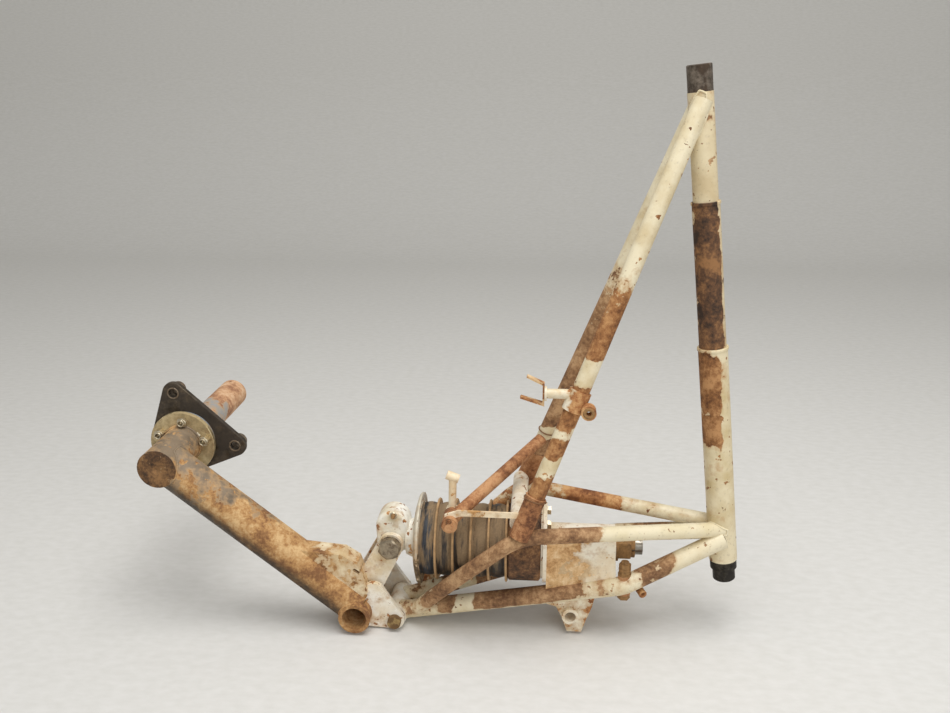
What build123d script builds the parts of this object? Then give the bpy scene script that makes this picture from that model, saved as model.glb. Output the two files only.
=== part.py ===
"""Main landing gear leg: a welded tube truss, a trailing arm and a rubber disc shock pack.

The leg stands as it is set down on a floor: +Z up, +Y along the arm hinge and the axle,
+X from the arm towards the retraction tube. The origin is on the retraction tube's axis,
within its lower journal. Lengths are in millimetres.
"""
import os
from math import cos, radians, sin

from build123d import *

# Driving dimensions of the retraction tube
lean = 6.8
pivot_length = 690.0
pivot_lower_r = 19.05
pivot_middle_r = 17.45
pivot_upper_r = 15.85
pivot_wall = 1.6
pivot_lower_top = 337.0
pivot_middle_top = 526.0
tube_overlap = 22.0
upper_journal_r = 15.4
upper_journal_length = 32.0
lower_journal_r = 15.2
lower_journal_length = 16.0
journal_chamfer = 1.2
lower_journal_start = -2.0
lower_collar_r = 18.0
lower_collar_length = 13.0
journal_bore_r = 9.5

# Driving dimensions of the truss, near side at -Y, mirrored to the far side
diagonal_r = 11.5
rail_r = 10.3
lower_tube_r = 12.7
cross_r = 11.0
truss_wall = 1.8
node_b = Vector(-286, -84, 92)
diagonal_top = Vector(-75, -10.3, 645)
rail_pivot_end = Vector(-9.7, -10, 77)
rail_waist = Vector(-358, -69, 28)
rail_foot = Vector(-430, -31, -52)
lower_foot = Vector(-458, -18, -65)
lower_bend = Vector(-144, -41.5, 2)
high_run_start = Vector(-262, -48, -10)
high_run_bend = Vector(-150, -42.5, 39.8)
lower_pivot_end = Vector(-8, -14, 65)
bend_radius = 60.0
cuff_r = 13.6
web_y = -38.0
web_thickness = 3.0
shackle_r = 9.0
shackle_x, shackle_y = -142.0, -40.0
shackle_low, shackle_high = -10.0, 18.5

# Driving dimensions of the arm hinge, the lever and the shock pack
hinge_x, hinge_z = -461.0, -66.0
hinge_bolt_r = 6.35
lever_radius = 109.0
lever_start = 3.0
pack_z = 42.6
rod_r = 12.7
plate_r = 57.0
plate_thickness = 3.0
rubber_r = 49.5
rubber_length = 21.3
rubber_bulge = 2.2
disc_count = 5
seat_face_x = -303.0
end_plate_r = 64.0
end_plate_thickness = 8.0
collar_bolt_r = 9.5
collar_bolt_clearance = 0.8
running = 0.05
gap = 0.3

# Driving dimensions of the trailing arm and the axle
cross_tube_r = 22.2
cross_tube_wall = 5.2
cross_tube_half = 64.0
cross_tube_x, cross_tube_z = -515.0, -54.6
arm_r = 28.5
arm_wall = 3.2
arm_y = -34.0
arm_foot = Vector(-515, arm_y, -48)
axle_x, axle_z = -777.0, 163.0
stub_r = 26.5
stub_wall = 4.0
stub_cap_y = arm_y - arm_r - 1.0
flange_r = 47.0
flange_y = 30.0
flange_thickness = 7.0
axle_r = 22.5
axle_land_r = 24.0
axle_wall = 4.5
axle_end_y = 256.0
torque_hole_radius = 72.0
torque_hole_angles = (101.0, -6.5)
flange_bolt_radius = 34.5
flange_bolt_start = 83.0
flange_bolt_count = 5

pivot_dir = Vector(-sin(radians(lean)), 0, cos(radians(lean)))
arm_head = Vector(axle_x, arm_y, axle_z)
collar_x = hinge_x - lever_radius * sin(radians(lever_start))
disc_pitch = rubber_length + plate_thickness
end_face_x = seat_face_x - plate_thickness - disc_count * disc_pitch + plate_thickness
pack_axis = Axis((0, 0, pack_z), (1, 0, 0))

os.makedirs("parts", exist_ok=True)


def save(piece, name):
    """Label a finished piece and write its STEP file."""
    piece.label = name
    export_step(piece, f"parts/{name}.step")
    return piece


def far(point):
    """The same point on the far side of the truss."""
    return Vector(point.X, -point.Y, point.Z)


def side_plane(y):
    """A drawing plane at depth y, with its own x along +X and its own y along +Z."""
    return Plane(origin=(0, y, 0), x_dir=(1, 0, 0), z_dir=(0, -1, 0))


def pivot_plane(s):
    """A plane square to the retraction tube, s along its axis from the origin."""
    return Plane(origin=pivot_dir * s, x_dir=(pivot_dir.Z, 0, -pivot_dir.X), z_dir=pivot_dir)


def bar(start, end, radius, bore=0.0):
    """A straight round bar, or a tube when it has a bore."""
    with BuildPart() as made:
        with BuildSketch(Plane(origin=start, z_dir=end - start)):
            Circle(radius)
            if bore:
                Circle(bore, mode=Mode.SUBTRACT)
        extrude(amount=(end - start).length)
    return made.part


def bent_bar(points, radius, bore=0.0):
    """A round bar or tube that follows straight runs with rounded bends."""
    with BuildPart() as made:
        with BuildLine() as path:
            FilletPolyline(*points, radius=bend_radius)
        with BuildSketch(Plane(origin=path.line @ 0, z_dir=path.line % 0)):
            Circle(radius)
            if bore:
                Circle(bore, mode=Mode.SUBTRACT)
        sweep(path=path.line)
    return made.part


def trimmed(piece, *cutters):
    """The piece with its ends cut to the shape of what they are welded to."""
    with BuildPart() as made:
        add(piece)
        for cutter in cutters:
            add(cutter, mode=Mode.SUBTRACT)
        solids = made.part.solids().sort_by(SortBy.VOLUME)
    return Part([solids[-1]]) if len(solids) > 1 else made.part


def turned(points):
    """A solid turned about the shock pack's axis from a profile of (x, radius) points."""
    with BuildPart() as made:
        with BuildSketch(side_plane(0)):
            with BuildLine():
                Polyline(*[(x, pack_z + r) for x, r in points], close=True)
            make_face()
        revolve(axis=pack_axis)
    return made.part


def hexagon_bar(centre, direction, across_flats, length, bore=0.0):
    """A hexagonal nut or bolt head standing on a point."""
    with BuildPart() as made:
        with BuildSketch(Plane(origin=centre, z_dir=direction)):
            RegularPolygon(across_flats / 2, 6, major_radius=False)
            if bore:
                Circle(bore, mode=Mode.SUBTRACT)
        extrude(amount=length)
    return made.part


def on_shackle(z):
    """The point of the shackle bolt's axis at height z."""
    return Vector(shackle_x, shackle_y, z)


def group(*pieces):
    """Separate solids of one node."""
    return Compound(children=[solid for piece in pieces for solid in piece.solids()])


# Retraction tube: three telescoped tubes with a weld ring at each step
def pivot_tube(bottom, top, radius, ring):
    """One length of the retraction tube, with a weld ring at its upper end if asked."""
    with BuildPart() as made:
        with BuildSketch(pivot_plane(bottom)):
            Circle(radius)
            Circle(radius - pivot_wall, mode=Mode.SUBTRACT)
        extrude(amount=top - bottom)
        if ring:
            with BuildSketch(pivot_plane(top - 4)):
                Circle(radius + 1.2)
                Circle(radius - pivot_wall, mode=Mode.SUBTRACT)
            extrude(amount=4)
            rim = made.part.edges().filter_by(GeomType.CIRCLE).group_by(SortBy.RADIUS)[-1]
            fillet(rim, 1.0)
    return made.part


lower_collar_top = lower_journal_length + lower_collar_length
pivot_lower = pivot_tube(lower_collar_top, pivot_lower_top, pivot_lower_r, True)
pivot_middle = pivot_tube(pivot_lower_top - tube_overlap, pivot_middle_top, pivot_middle_r, True)
journal_foot = pivot_length - upper_journal_length
pivot_upper = pivot_tube(pivot_middle_top - tube_overlap, journal_foot, pivot_upper_r, False)
save(pivot_lower, "pivot_lower")
save(pivot_middle, "pivot_middle")
save(pivot_upper, "pivot_upper")

with BuildPart() as lower_journal:
    with BuildSketch(pivot_plane(lower_journal_start)):
        Circle(lower_journal_r)
    extrude(amount=lower_journal_length - lower_journal_start)
    with BuildSketch(pivot_plane(lower_journal_length)):
        Circle(lower_collar_r)
    extrude(amount=lower_collar_length)
    with BuildSketch(pivot_plane(lower_collar_top)):
        Circle(pivot_lower_r - pivot_wall)
    extrude(amount=30)
    with BuildSketch(pivot_plane(lower_journal_start)):
        Circle(journal_bore_r)
    extrude(amount=lower_collar_top + 40, mode=Mode.SUBTRACT)
    chamfer(lower_journal.faces().sort_by(Axis.Z)[0].edges(), journal_chamfer)
save(lower_journal.part, "lower_journal")

with BuildPart() as upper_journal:
    with BuildSketch(pivot_plane(journal_foot - 35)):
        Circle(pivot_upper_r - pivot_wall)
    extrude(amount=35)
    with BuildSketch(pivot_plane(journal_foot)):
        Circle(upper_journal_r)
    extrude(amount=upper_journal_length)
    with BuildSketch(pivot_plane(journal_foot - 35)):
        Circle(journal_bore_r)
    extrude(amount=upper_journal_length + 40, mode=Mode.SUBTRACT)
    chamfer(upper_journal.faces().sort_by(Axis.Z)[-1].edges(), journal_chamfer)
save(upper_journal.part, "upper_journal")

# Solid shapes of the tubes, used to cut the ends of what is welded to them
pivot_solid = bar(pivot_dir * 30, pivot_dir * pivot_lower_top, pivot_lower_r)
pivot_upper_solid = bar(pivot_dir * pivot_middle_top, pivot_dir * pivot_length, pivot_upper_r)
hinge_near = Vector(hinge_x, -33, hinge_z)
sleeve_solid = bar(hinge_near, far(hinge_near), 15.0)


def truss_side(place, word, lower_run):
    """The tubes of one side of the truss. place mirrors a near point to the side."""
    rail_points = [place(p) for p in (rail_pivot_end, node_b, rail_waist, rail_foot)]
    lower_points = [place(p) for p in lower_run]
    rail_solid = bent_bar(rail_points, rail_r)
    lower_solid = bent_bar(lower_points, lower_tube_r)
    diagonal_solid = bar(place(node_b), place(diagonal_top), diagonal_r)
    rail = bent_bar(rail_points, rail_r, rail_r - truss_wall)
    lower = bent_bar(lower_points, lower_tube_r, lower_tube_r - truss_wall)
    diagonal = bar(place(node_b), place(diagonal_top), diagonal_r, diagonal_r - truss_wall)
    lower = trimmed(lower, sleeve_solid, pivot_solid, rail_solid, shackle_hole)
    rail = trimmed(rail, pivot_solid, lower_solid)
    diagonal = trimmed(diagonal, pivot_upper_solid, rail_solid)
    save(rail, f"rail_{word}")
    save(lower, f"lower_tube_{word}")
    save(diagonal, f"diagonal_{word}")
    along = (place(diagonal_top) - place(node_b)).normalized()
    cuff = bar(place(node_b), place(node_b) + along * 60, cuff_r, diagonal_r)
    cuff = trimmed(cuff, rail_solid)
    return dict(rail=rail_solid, lower=lower_solid, diagonal=diagonal_solid, cuff=cuff, along=along)


shackle_hole = bar(on_shackle(-40), on_shackle(40), shackle_r)
near_side = truss_side(lambda p: p, "near", (lower_foot, lower_bend, lower_pivot_end))
far_run = (lower_foot, high_run_start, high_run_bend, lower_pivot_end)
far_side = truss_side(far, "far", far_run)
save(group(near_side["cuff"], far_side["cuff"]), "cuffs")

# Hinge sleeve at the truss's apex, with a flanged bush in each end
bush_r = 9.5
with BuildPart() as apex_sleeve:
    add(bar(hinge_near, far(hinge_near), 15.0, bush_r))
save(apex_sleeve.part, "apex_sleeve")


def flanged_bush(side):
    """One bush: a flange outside the sleeve's end and a barrel inside it."""
    flange_out = Vector(hinge_x, side * (33 + 2.6), hinge_z)
    flange_in = Vector(hinge_x, side * 33, hinge_z)
    barrel_in = Vector(hinge_x, side * 10, hinge_z)
    with BuildPart() as bush:
        add(bar(flange_out, flange_in, 13.0, hinge_bolt_r + running))
        add(bar(flange_in, barrel_in, bush_r, hinge_bolt_r + running))
    return bush.part


save(group(flanged_bush(-1), flanged_bush(1)), "apex_bushes")

# Upper cross member between the two sides, over the shock pack's seat
drum_r = 54.0
cross_member_z = pack_z + drum_r + cross_r - 0.6
cross_start = Vector(-288, node_b.Y + 11, cross_member_z)
cross_solid = bar(cross_start, far(cross_start), cross_r)
end_wall = Vector(0, 3, 0)
with BuildPart() as cross_tube_made:
    add(cross_solid)
    inner_start, inner_end = cross_start + end_wall, far(cross_start) - end_wall
    add(bar(inner_start, inner_end, cross_r - truss_wall), mode=Mode.SUBTRACT)
cross_member = trimmed(
    cross_tube_made.part,
    near_side["rail"], far_side["rail"], near_side["diagonal"], far_side["diagonal"],
    near_side["cuff"], far_side["cuff"],
)
save(cross_member, "cross_member")

# Shock pack seat: a closed drum, a flange plate and the rod's guide tube
drum_end_x = -257.0
flange_end_x = -249.0
guide_end_x = -154.0
guide_r = 28.0
drum_profile = [
    (seat_face_x, rod_r + 2), (seat_face_x, drum_r - 3), (seat_face_x + 3, drum_r),
    (drum_end_x - 3, drum_r), (drum_end_x, drum_r - 3), (drum_end_x, rod_r + 2),
    (drum_end_x - 6, rod_r + 2), (drum_end_x - 6, drum_r - 6), (seat_face_x + 6, drum_r - 6),
    (seat_face_x + 6, rod_r + 2),
]
save(trimmed(turned(drum_profile), cross_solid), "seat_drum")
flange_plate = turned([
    (drum_end_x, rod_r + 2), (drum_end_x, 50), (drum_end_x + 3, 50), (drum_end_x + 3, 55.5),
    (flange_end_x, 55.5), (flange_end_x, rod_r + 2),
])
flange_plate = trimmed(flange_plate, near_side["lower"], far_side["lower"])
save(flange_plate, "flange_plate")
guide_tube = turned([
    (flange_end_x, guide_r - 3), (flange_end_x, guide_r + 3), (flange_end_x + 3, guide_r),
    (guide_end_x, guide_r), (guide_end_x, guide_r - 3),
])
save(guide_tube, "guide_tube")


def guide_bush(start_x):
    """One bush that the rod slides through."""
    return turned([
        (start_x, rod_r + running), (start_x, guide_r - 3), (start_x + 22, guide_r - 3),
        (start_x + 22, rod_r + running),
    ])


save(group(guide_bush(flange_end_x), guide_bush(guide_end_x - 22)), "guide_bushes")

seat_bolts = []
for angle in (60, 120, 240, 300):
    bolt_y = 44 * cos(radians(angle))
    bolt_z = pack_z + 44 * sin(radians(angle))
    centre = Vector(flange_end_x, bolt_y, bolt_z)
    seat_bolts.append(hexagon_bar(centre, (1, 0, 0), 11.1, 5.5))
save(group(*seat_bolts), "seat_bolts")


def on_run(start, end, x):
    """The point of a straight run at one x."""
    return start + (end - start) * ((x - start.X) / (end.X - start.X))


def web_plate():
    """The near side's gusset, between the flange plate, the lower tube and the upper rail."""
    left_x, right_x = flange_end_x, -157.0
    low_left = on_run(lower_foot, lower_bend, left_x)
    low_right = on_run(lower_foot, lower_bend, right_x + 4)
    top_z = rail_pivot_end.Z + 1
    with BuildPart() as web:
        with BuildSketch(side_plane(web_y + web_thickness / 2)):
            with BuildLine():
                Polyline(
                    (left_x, low_left.Z), (left_x, top_z), (right_x, top_z),
                    (right_x + 4, low_right.Z), close=True,
                )
            make_face()
        extrude(amount=web_thickness)
    return trimmed(web.part, near_side["rail"], near_side["lower"], flange_plate)


save(web_plate(), "web_plates")


# Hanging lugs: the leg stands on their feet
def hanging_lug(y_in, y_out, top, side, word):
    """A lug plate under the lower tube, with a bushed hole. top is its upper right corner."""
    eye_x, eye_z = -214.0, -49.5
    with BuildPart() as lug:
        with BuildSketch(side_plane(max(y_in, y_out))):
            with BuildLine():
                Polyline(
                    (-272, -27), (-234, -38), (-226, -54), (-218, -76.5), (-198, -76.5),
                    (-192, -58), (-184, -36), top, (-234, -12), close=True,
                )
            make_face()
        extrude(amount=abs(y_out - y_in))
        with BuildSketch(side_plane(max(y_in, y_out) + 7)):
            with Locations((eye_x, eye_z)):
                Circle(11.7)
        extrude(amount=abs(y_out - y_in) + 14)
        with BuildSketch(side_plane(max(y_in, y_out) + 20)):
            with Locations((eye_x, eye_z)):
                Circle(7.6)
        extrude(amount=60, mode=Mode.SUBTRACT)
    save(trimmed(lug.part, side["lower"]), f"hanging_lug_{word}")


hanging_lug(-27, -36, (-178, -6), near_side, "near")
hanging_lug(36, 45, (-200, 24), far_side, "far")

# Shackle bolt, through its sleeve in the near lower tube by the bend
save(bar(on_shackle(shackle_low), on_shackle(shackle_high), shackle_r, 5.6), "shackle_sleeve")
with BuildPart() as shackle_bolt:
    add(bar(on_shackle(shackle_low - 2), on_shackle(shackle_high + 20), 5.5))
    add(hexagon_bar(on_shackle(shackle_low - 7), (0, 0, 1), 15, 7))
    add(bar(on_shackle(shackle_high), on_shackle(shackle_high + 2), 9))
    add(hexagon_bar(on_shackle(shackle_high + 2), (0, 0, 1), 14.3, 6))
    add(bar(on_shackle(shackle_high + 8), on_shackle(shackle_high + 10), 8.4))
    add(hexagon_bar(on_shackle(shackle_high + 10), (0, 0, 1), 14.3, 7))
save(shackle_bolt.part, "shackle_bolt")

# Line clamp on the near diagonal, with a side tube, an eye and a forked spring strip
clamp_place = node_b + near_side["along"] * 198
clamp_start = clamp_place - near_side["along"] * 14
clamp_end = clamp_place + near_side["along"] * 14
with BuildPart() as line_clamp:
    add(bar(clamp_start, clamp_end, 14.4))
    add(bar(clamp_place + Vector(-6, 0, 9), clamp_place + Vector(-38, 0, 9), 6.4))
    add(bar(clamp_place + Vector(-38, 0, 9), clamp_place + Vector(-41, 0, 9), 9.5))
    eye = clamp_place + Vector(15, -8, -9)
    add(bar(eye, eye + Vector(0, -14, 0), 9.6))
    add(bar(eye + Vector(0, 10, 0), eye + Vector(0, -20, 0), 3.3), mode=Mode.SUBTRACT)
    add(near_side["diagonal"], mode=Mode.SUBTRACT)
save(line_clamp.part, "line_clamp")

fork_root = clamp_place + Vector(-41, 0, 9)
with BuildPart() as clamp_fork:
    with BuildSketch(side_plane(fork_root.Y + 5)) as strips:
        with BuildLine():
            Polyline(
                (fork_root.X, fork_root.Z - 16), (fork_root.X, fork_root.Z + 14),
                (fork_root.X - 22, fork_root.Z + 24), (fork_root.X - 23, fork_root.Z + 22),
                (fork_root.X - 2.4, fork_root.Z + 12), (fork_root.X - 2.4, fork_root.Z - 12),
                (fork_root.X - 30, fork_root.Z - 4), (fork_root.X - 31, fork_root.Z - 6),
                close=True,
            )
        make_face()
    extrude(amount=10)
save(clamp_fork.part, "clamp_fork")

# Branch tube from the far diagonal to the door lever's sleeve, and a strap to the near cuff
sleeve_x, sleeve_z = -377.0, 109.5
lever_near, lever_far = -92.0, -58.0
sleeve_start = Vector(sleeve_x, lever_near, sleeve_z)
sleeve_end = Vector(sleeve_x, lever_far, sleeve_z)
lever_sleeve_solid = bar(sleeve_start, sleeve_end, 10.5)
save(bar(sleeve_start, sleeve_end, 10.5, 5.5 + running), "lever_sleeve")
branch_root = far(node_b) + far_side["along"] * 88
branch_tube = trimmed(
    bar(branch_root, Vector(sleeve_x + 2, -75, sleeve_z + 2), 8.5, 6.9),
    far_side["diagonal"], bar(sleeve_start, sleeve_end + Vector(0, 20, 0), 10.5),
)
save(branch_tube, "branch_tube")
with BuildPart() as strap:
    with BuildSketch(side_plane(-80)):
        with BuildLine():
            Polyline(
                (-384, 113), (-384, 121), (-366, 127.5), (-286, 126.5), (-282, 119), (-362, 119.5),
                close=True,
            )
        make_face()
    extrude(amount=3.2)
save(trimmed(strap.part, lever_sleeve_solid, near_side["diagonal"], near_side["cuff"]), "strap")

# Door lever: an arm with a cross head, on a shaft through the sleeve
lever_hub_end = lever_far + 0.5 + 13
with BuildPart() as door_lever:
    hub_start = Vector(sleeve_x, lever_far + 0.5, sleeve_z)
    add(bar(hub_start, Vector(sleeve_x, lever_hub_end, sleeve_z), 9.4))
    foot = Vector(sleeve_x, lever_far + 7, sleeve_z)
    head = Vector(sleeve_x + 1, lever_far + 7, 161)
    head_half = Vector(8, 0, -3)
    add(bar(foot, head, 5.2))
    add(bar(head - head_half, head + head_half, 6.2))
    add(bar(head - head_half * 1.3, head + head_half * 1.3, 3.2), mode=Mode.SUBTRACT)
    shaft_hole = bar(Vector(sleeve_x, lever_far - 5, sleeve_z), Vector(sleeve_x, -20, sleeve_z), 5.5)
    add(shaft_hole, mode=Mode.SUBTRACT)
save(door_lever.part, "door_lever")
with BuildPart() as lever_shaft:
    add(bar(Vector(sleeve_x, lever_near - 7, sleeve_z), Vector(sleeve_x, lever_hub_end + 3, sleeve_z), 5.5))
    near_end = Vector(sleeve_x, lever_near - 0.4, sleeve_z)
    add(bar(near_end, near_end - Vector(0, 2.2, 0), 9))
save(lever_shaft.part, "lever_shaft")

# Shock pack: steel plates with a rubber disc between each pair
hole_r = rod_r + 0.6


def spacer_plate(right_x):
    """A steel plate with a rolled edge; right_x is its face towards the seat."""
    left_x = right_x - plate_thickness
    return turned([
        (left_x, hole_r), (left_x, plate_r - 1), (left_x + 1, plate_r),
        (right_x - 1, plate_r), (right_x, plate_r - 1), (right_x, hole_r),
    ])


def rubber_disc(left_x):
    """A rubber ring that bulges between its two plates."""
    right_x = left_x + rubber_length
    with BuildPart() as made:
        with BuildSketch(side_plane(0)):
            with BuildLine():
                Line((left_x, pack_z + rod_r + 2.5), (left_x, pack_z + rubber_r))
                middle = ((left_x + right_x) / 2, pack_z + rubber_r + rubber_bulge)
                ThreePointArc((left_x, pack_z + rubber_r), middle, (right_x, pack_z + rubber_r))
                Line((right_x, pack_z + rubber_r), (right_x, pack_z + rod_r + 2.5))
                Line((right_x, pack_z + rod_r + 2.5), (left_x, pack_z + rod_r + 2.5))
            make_face()
        revolve(axis=pack_axis)
    return made.part


for index in range(disc_count):
    disc_left_x = end_face_x + index * disc_pitch
    save(rubber_disc(disc_left_x), f"rubber_disc_{index + 1}")
    save(spacer_plate(disc_left_x + disc_pitch), f"spacer_plate_{index + 1}")

end_back_x = end_face_x - end_plate_thickness
end_plate = turned([
    (end_back_x, rod_r), (end_back_x, end_plate_r - 14), (end_back_x + 3.5, end_plate_r - 2),
    (end_back_x + 5.5, end_plate_r), (end_face_x, end_plate_r), (end_face_x, end_plate_r - 4),
    (end_face_x - 1.5, end_plate_r - 7), (end_face_x - 1.5, rubber_r + 4), (end_face_x, rubber_r + 3),
    (end_face_x, rod_r),
])
save(end_plate, "end_plate")

# Collar: a cast block between the lever lugs, with a hub that bears on the end plate
collar_half = 19.4
with BuildPart() as collar:
    with BuildSketch(side_plane(collar_half)):
        with Locations((collar_x + 1, pack_z + 24)):
            Circle(23)
        with Locations((collar_x, pack_z)):
            Circle(21)
        make_hull()
    extrude(amount=2 * collar_half)
    rounded = collar.edges().filter_by(GeomType.LINE, reverse=True)
    fillet(rounded.filter_by_position(Axis.Z, pack_z + 24, 200), 5)
    with BuildSketch(Plane.YZ.offset(collar_x)):
        with Locations((0, pack_z)):
            Circle(18.5)
    extrude(amount=end_back_x - collar_x)
    with BuildSketch(side_plane(0)):
        with BuildLine():
            Polyline(
                (collar_x + 20, pack_z), (collar_x + 20, pack_z + 24), (end_back_x - 5, pack_z + 28),
                (end_back_x, pack_z + 40), (end_back_x, pack_z), close=True,
            )
        make_face()
    revolve(axis=pack_axis)
    with BuildSketch(side_plane(60)):
        with Locations((collar_x, pack_z)):
            Circle(collar_bolt_r + collar_bolt_clearance)
    extrude(amount=120, mode=Mode.SUBTRACT)
    rod_start_x = collar_x + 16
    with BuildSketch(Plane.YZ.offset(rod_start_x)):
        with Locations((0, pack_z)):
            Circle(rod_r)
    extrude(amount=60, mode=Mode.SUBTRACT)
save(collar.part, "collar")

rod_end_x = -116.0
save(bar(Vector(rod_start_x, 0, pack_z), Vector(rod_end_x, 0, pack_z), rod_r), "shock_rod")
washer_x = guide_end_x + gap
with BuildPart() as rod_nut:
    add(turned([(washer_x, rod_r), (washer_x, 22.5), (washer_x + 4, 22.5), (washer_x + 4, rod_r)]))
    add(hexagon_bar(Vector(washer_x + 4, 0, pack_z), (1, 0, 0), 38, 17, rod_r))
    add(turned([(washer_x + 21, rod_r), (washer_x + 21, 17), (washer_x + 27, 17), (washer_x + 27, rod_r)]))
    for turn in (0, 60, 120):
        with BuildSketch(Plane.YZ.offset(washer_x + 22)) as slots:
            with Locations((0, pack_z)):
                Rectangle(60, 4, rotation=turn)
        extrude(amount=20, mode=Mode.SUBTRACT)
save(rod_nut.part, "rod_nut")

# Trailing arm: the cross tube, the arm tube and the capped stub that carries the axle flange
cross_near = Vector(cross_tube_x, -cross_tube_half, cross_tube_z)
cross_tube_solid = bar(cross_near, far(cross_near), cross_tube_r)
save(bar(cross_near, far(cross_near), cross_tube_r, cross_tube_r - cross_tube_wall), "cross_tube")

arm_dir = (arm_head - arm_foot).normalized()
arm_end = arm_head - arm_dir * 4
stub_near = Vector(axle_x, stub_cap_y, axle_z)
stub_far = Vector(axle_x, flange_y, axle_z)
stub_solid = bar(stub_near, stub_far, stub_r)
arm_solid = bar(arm_foot, arm_end, arm_r)
arm_tube = trimmed(bar(arm_foot, arm_end, arm_r, arm_r - arm_wall), cross_tube_solid, stub_solid)
save(arm_tube, "arm_tube")
stub_inside = bar(stub_near + Vector(0, stub_wall, 0), stub_far, stub_r - stub_wall)
save(trimmed(stub_solid, stub_inside), "axle_stub")

# Wheel end: the stub's flange, the axle, the torque plate and their bolts
flange_back = flange_y + flange_thickness
axle_flange_back = flange_back + 9
plate_back = axle_flange_back + 7


def bolt_spots():
    """The flange bolts' places as (x, z)."""
    spots = []
    for index in range(flange_bolt_count):
        turn = radians(flange_bolt_start + 360 / flange_bolt_count * index)
        spots.append((axle_x + flange_bolt_radius * cos(turn), axle_z + flange_bolt_radius * sin(turn)))
    return spots


def hole_spots():
    """The torque plate's two guide holes as (x, z)."""
    spots = []
    for angle in torque_hole_angles:
        turn = radians(angle)
        spots.append((axle_x + torque_hole_radius * cos(turn), axle_z + torque_hole_radius * sin(turn)))
    return spots


with BuildPart() as hub_flange:
    with BuildSketch(side_plane(flange_back)):
        with Locations((axle_x, axle_z)):
            Circle(flange_r)
        with Locations(*bolt_spots()):
            Circle(4.0, mode=Mode.SUBTRACT)
    extrude(amount=flange_thickness)
    fillet(hub_flange.edges().filter_by(GeomType.CIRCLE).group_by(SortBy.RADIUS)[-1], 1.2)
save(hub_flange.part, "hub_flange")

with BuildPart() as axle:
    with BuildSketch(side_plane(axle_flange_back)):
        with Locations((axle_x, axle_z)):
            Circle(flange_r - 4)
        with Locations(*bolt_spots()):
            Circle(4.0, mode=Mode.SUBTRACT)
    extrude(amount=9)
    with BuildSketch(side_plane(plate_back + 7)):
        with Locations((axle_x, axle_z)):
            Circle(axle_land_r)
    extrude(amount=plate_back + 7 - axle_flange_back)
    with BuildSketch(side_plane(axle_end_y)):
        with Locations((axle_x, axle_z)):
            Circle(axle_r)
    extrude(amount=axle_end_y - axle_flange_back)
    chamfer(axle.faces().sort_by(Axis.Y)[-1].edges(), 2.0)
    with BuildSketch(side_plane(axle_end_y)):
        with Locations((axle_x, axle_z)):
            Circle(axle_r - axle_wall)
    extrude(amount=axle_end_y - axle_flange_back, mode=Mode.SUBTRACT)
    with BuildSketch(Plane.XY.offset(axle_z)):
        with Locations((axle_x, axle_end_y - 11)):
            Circle(2.4)
    extrude(amount=40, both=True, mode=Mode.SUBTRACT)
save(axle.part, "axle")

with BuildPart() as torque_plate:
    with BuildSketch(side_plane(plate_back)):
        with Locations((axle_x, axle_z)):
            Circle(51)
        for spot in hole_spots():
            with Locations(spot):
                Circle(16)
        make_hull()
        with Locations((axle_x, axle_z)):
            Circle(axle_land_r + 0.5, mode=Mode.SUBTRACT)
        with Locations(*bolt_spots()):
            Circle(4.0, mode=Mode.SUBTRACT)
        with Locations(*hole_spots()):
            Circle(6.4, mode=Mode.SUBTRACT)
    extrude(amount=plate_back - axle_flange_back)
    fillet(torque_plate.faces().sort_by(Axis.Y)[0].outer_wire().edges(), 1.5)
save(torque_plate.part, "torque_plate")

guide_sleeves = []
for spot_x, spot_z in hole_spots():
    base = Vector(spot_x, plate_back, spot_z)
    guide_sleeves.append(bar(base, base + Vector(0, 16, 0), 11.0, 6.4))
save(group(*guide_sleeves), "guide_sleeves")

flange_bolts = []
for spot_x, spot_z in bolt_spots():
    spot = Vector(spot_x, 0, spot_z)
    with BuildPart() as bolt:
        add(bar(spot + Vector(0, flange_y - 12, 0), spot + Vector(0, plate_back + 1, 0), 3.95))
        add(hexagon_bar(spot + Vector(0, flange_y - 8, 0), (0, 1, 0), 12.7, 8))
        add(hexagon_bar(spot + Vector(0, plate_back, 0), (0, 1, 0), 12.7, 5.5))
    flange_bolts.append(bolt.part)
save(group(*flange_bolts), "flange_bolts")


# Lever lugs and hinge ears, welded to the cross tube
def linked_plate(circles, y_low, y_high, hole, hole_place, *cutters):
    """A plate drawn as the hull of circles (x, z, radius), with one hole."""
    with BuildPart() as plate:
        with BuildSketch(side_plane(y_high)):
            for x, z, radius in circles:
                with Locations((x, z)):
                    Circle(radius)
            make_hull()
            with Locations(hole_place):
                Circle(hole, mode=Mode.SUBTRACT)
        extrude(amount=y_high - y_low)
    return trimmed(plate.part, *cutters)


lug_in, lug_out = 20.0, 29.5
lug_circles = [(collar_x, pack_z, 17.5), (-507, -34, 20)]
ear_in, ear_out = 36.0, 44.0
ear_circles = [(hinge_x, hinge_z, 13.5), (-490, -24, 15), (cross_tube_x, cross_tube_z, 21)]
lugs = []
ears = []
for side_sign in (-1, 1):
    low, high = sorted((side_sign * lug_in, side_sign * lug_out))
    lug_cut = (cross_tube_solid, arm_solid)
    lugs.append(linked_plate(lug_circles, low, high, collar_bolt_r, (collar_x, pack_z), *lug_cut))
    low, high = sorted((side_sign * ear_in, side_sign * ear_out))
    ears.append(linked_plate(ear_circles, low, high, hinge_bolt_r, (hinge_x, hinge_z), *lug_cut))
save(group(*lugs), "lever_lugs")
save(group(*ears), "hinge_ears")

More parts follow.
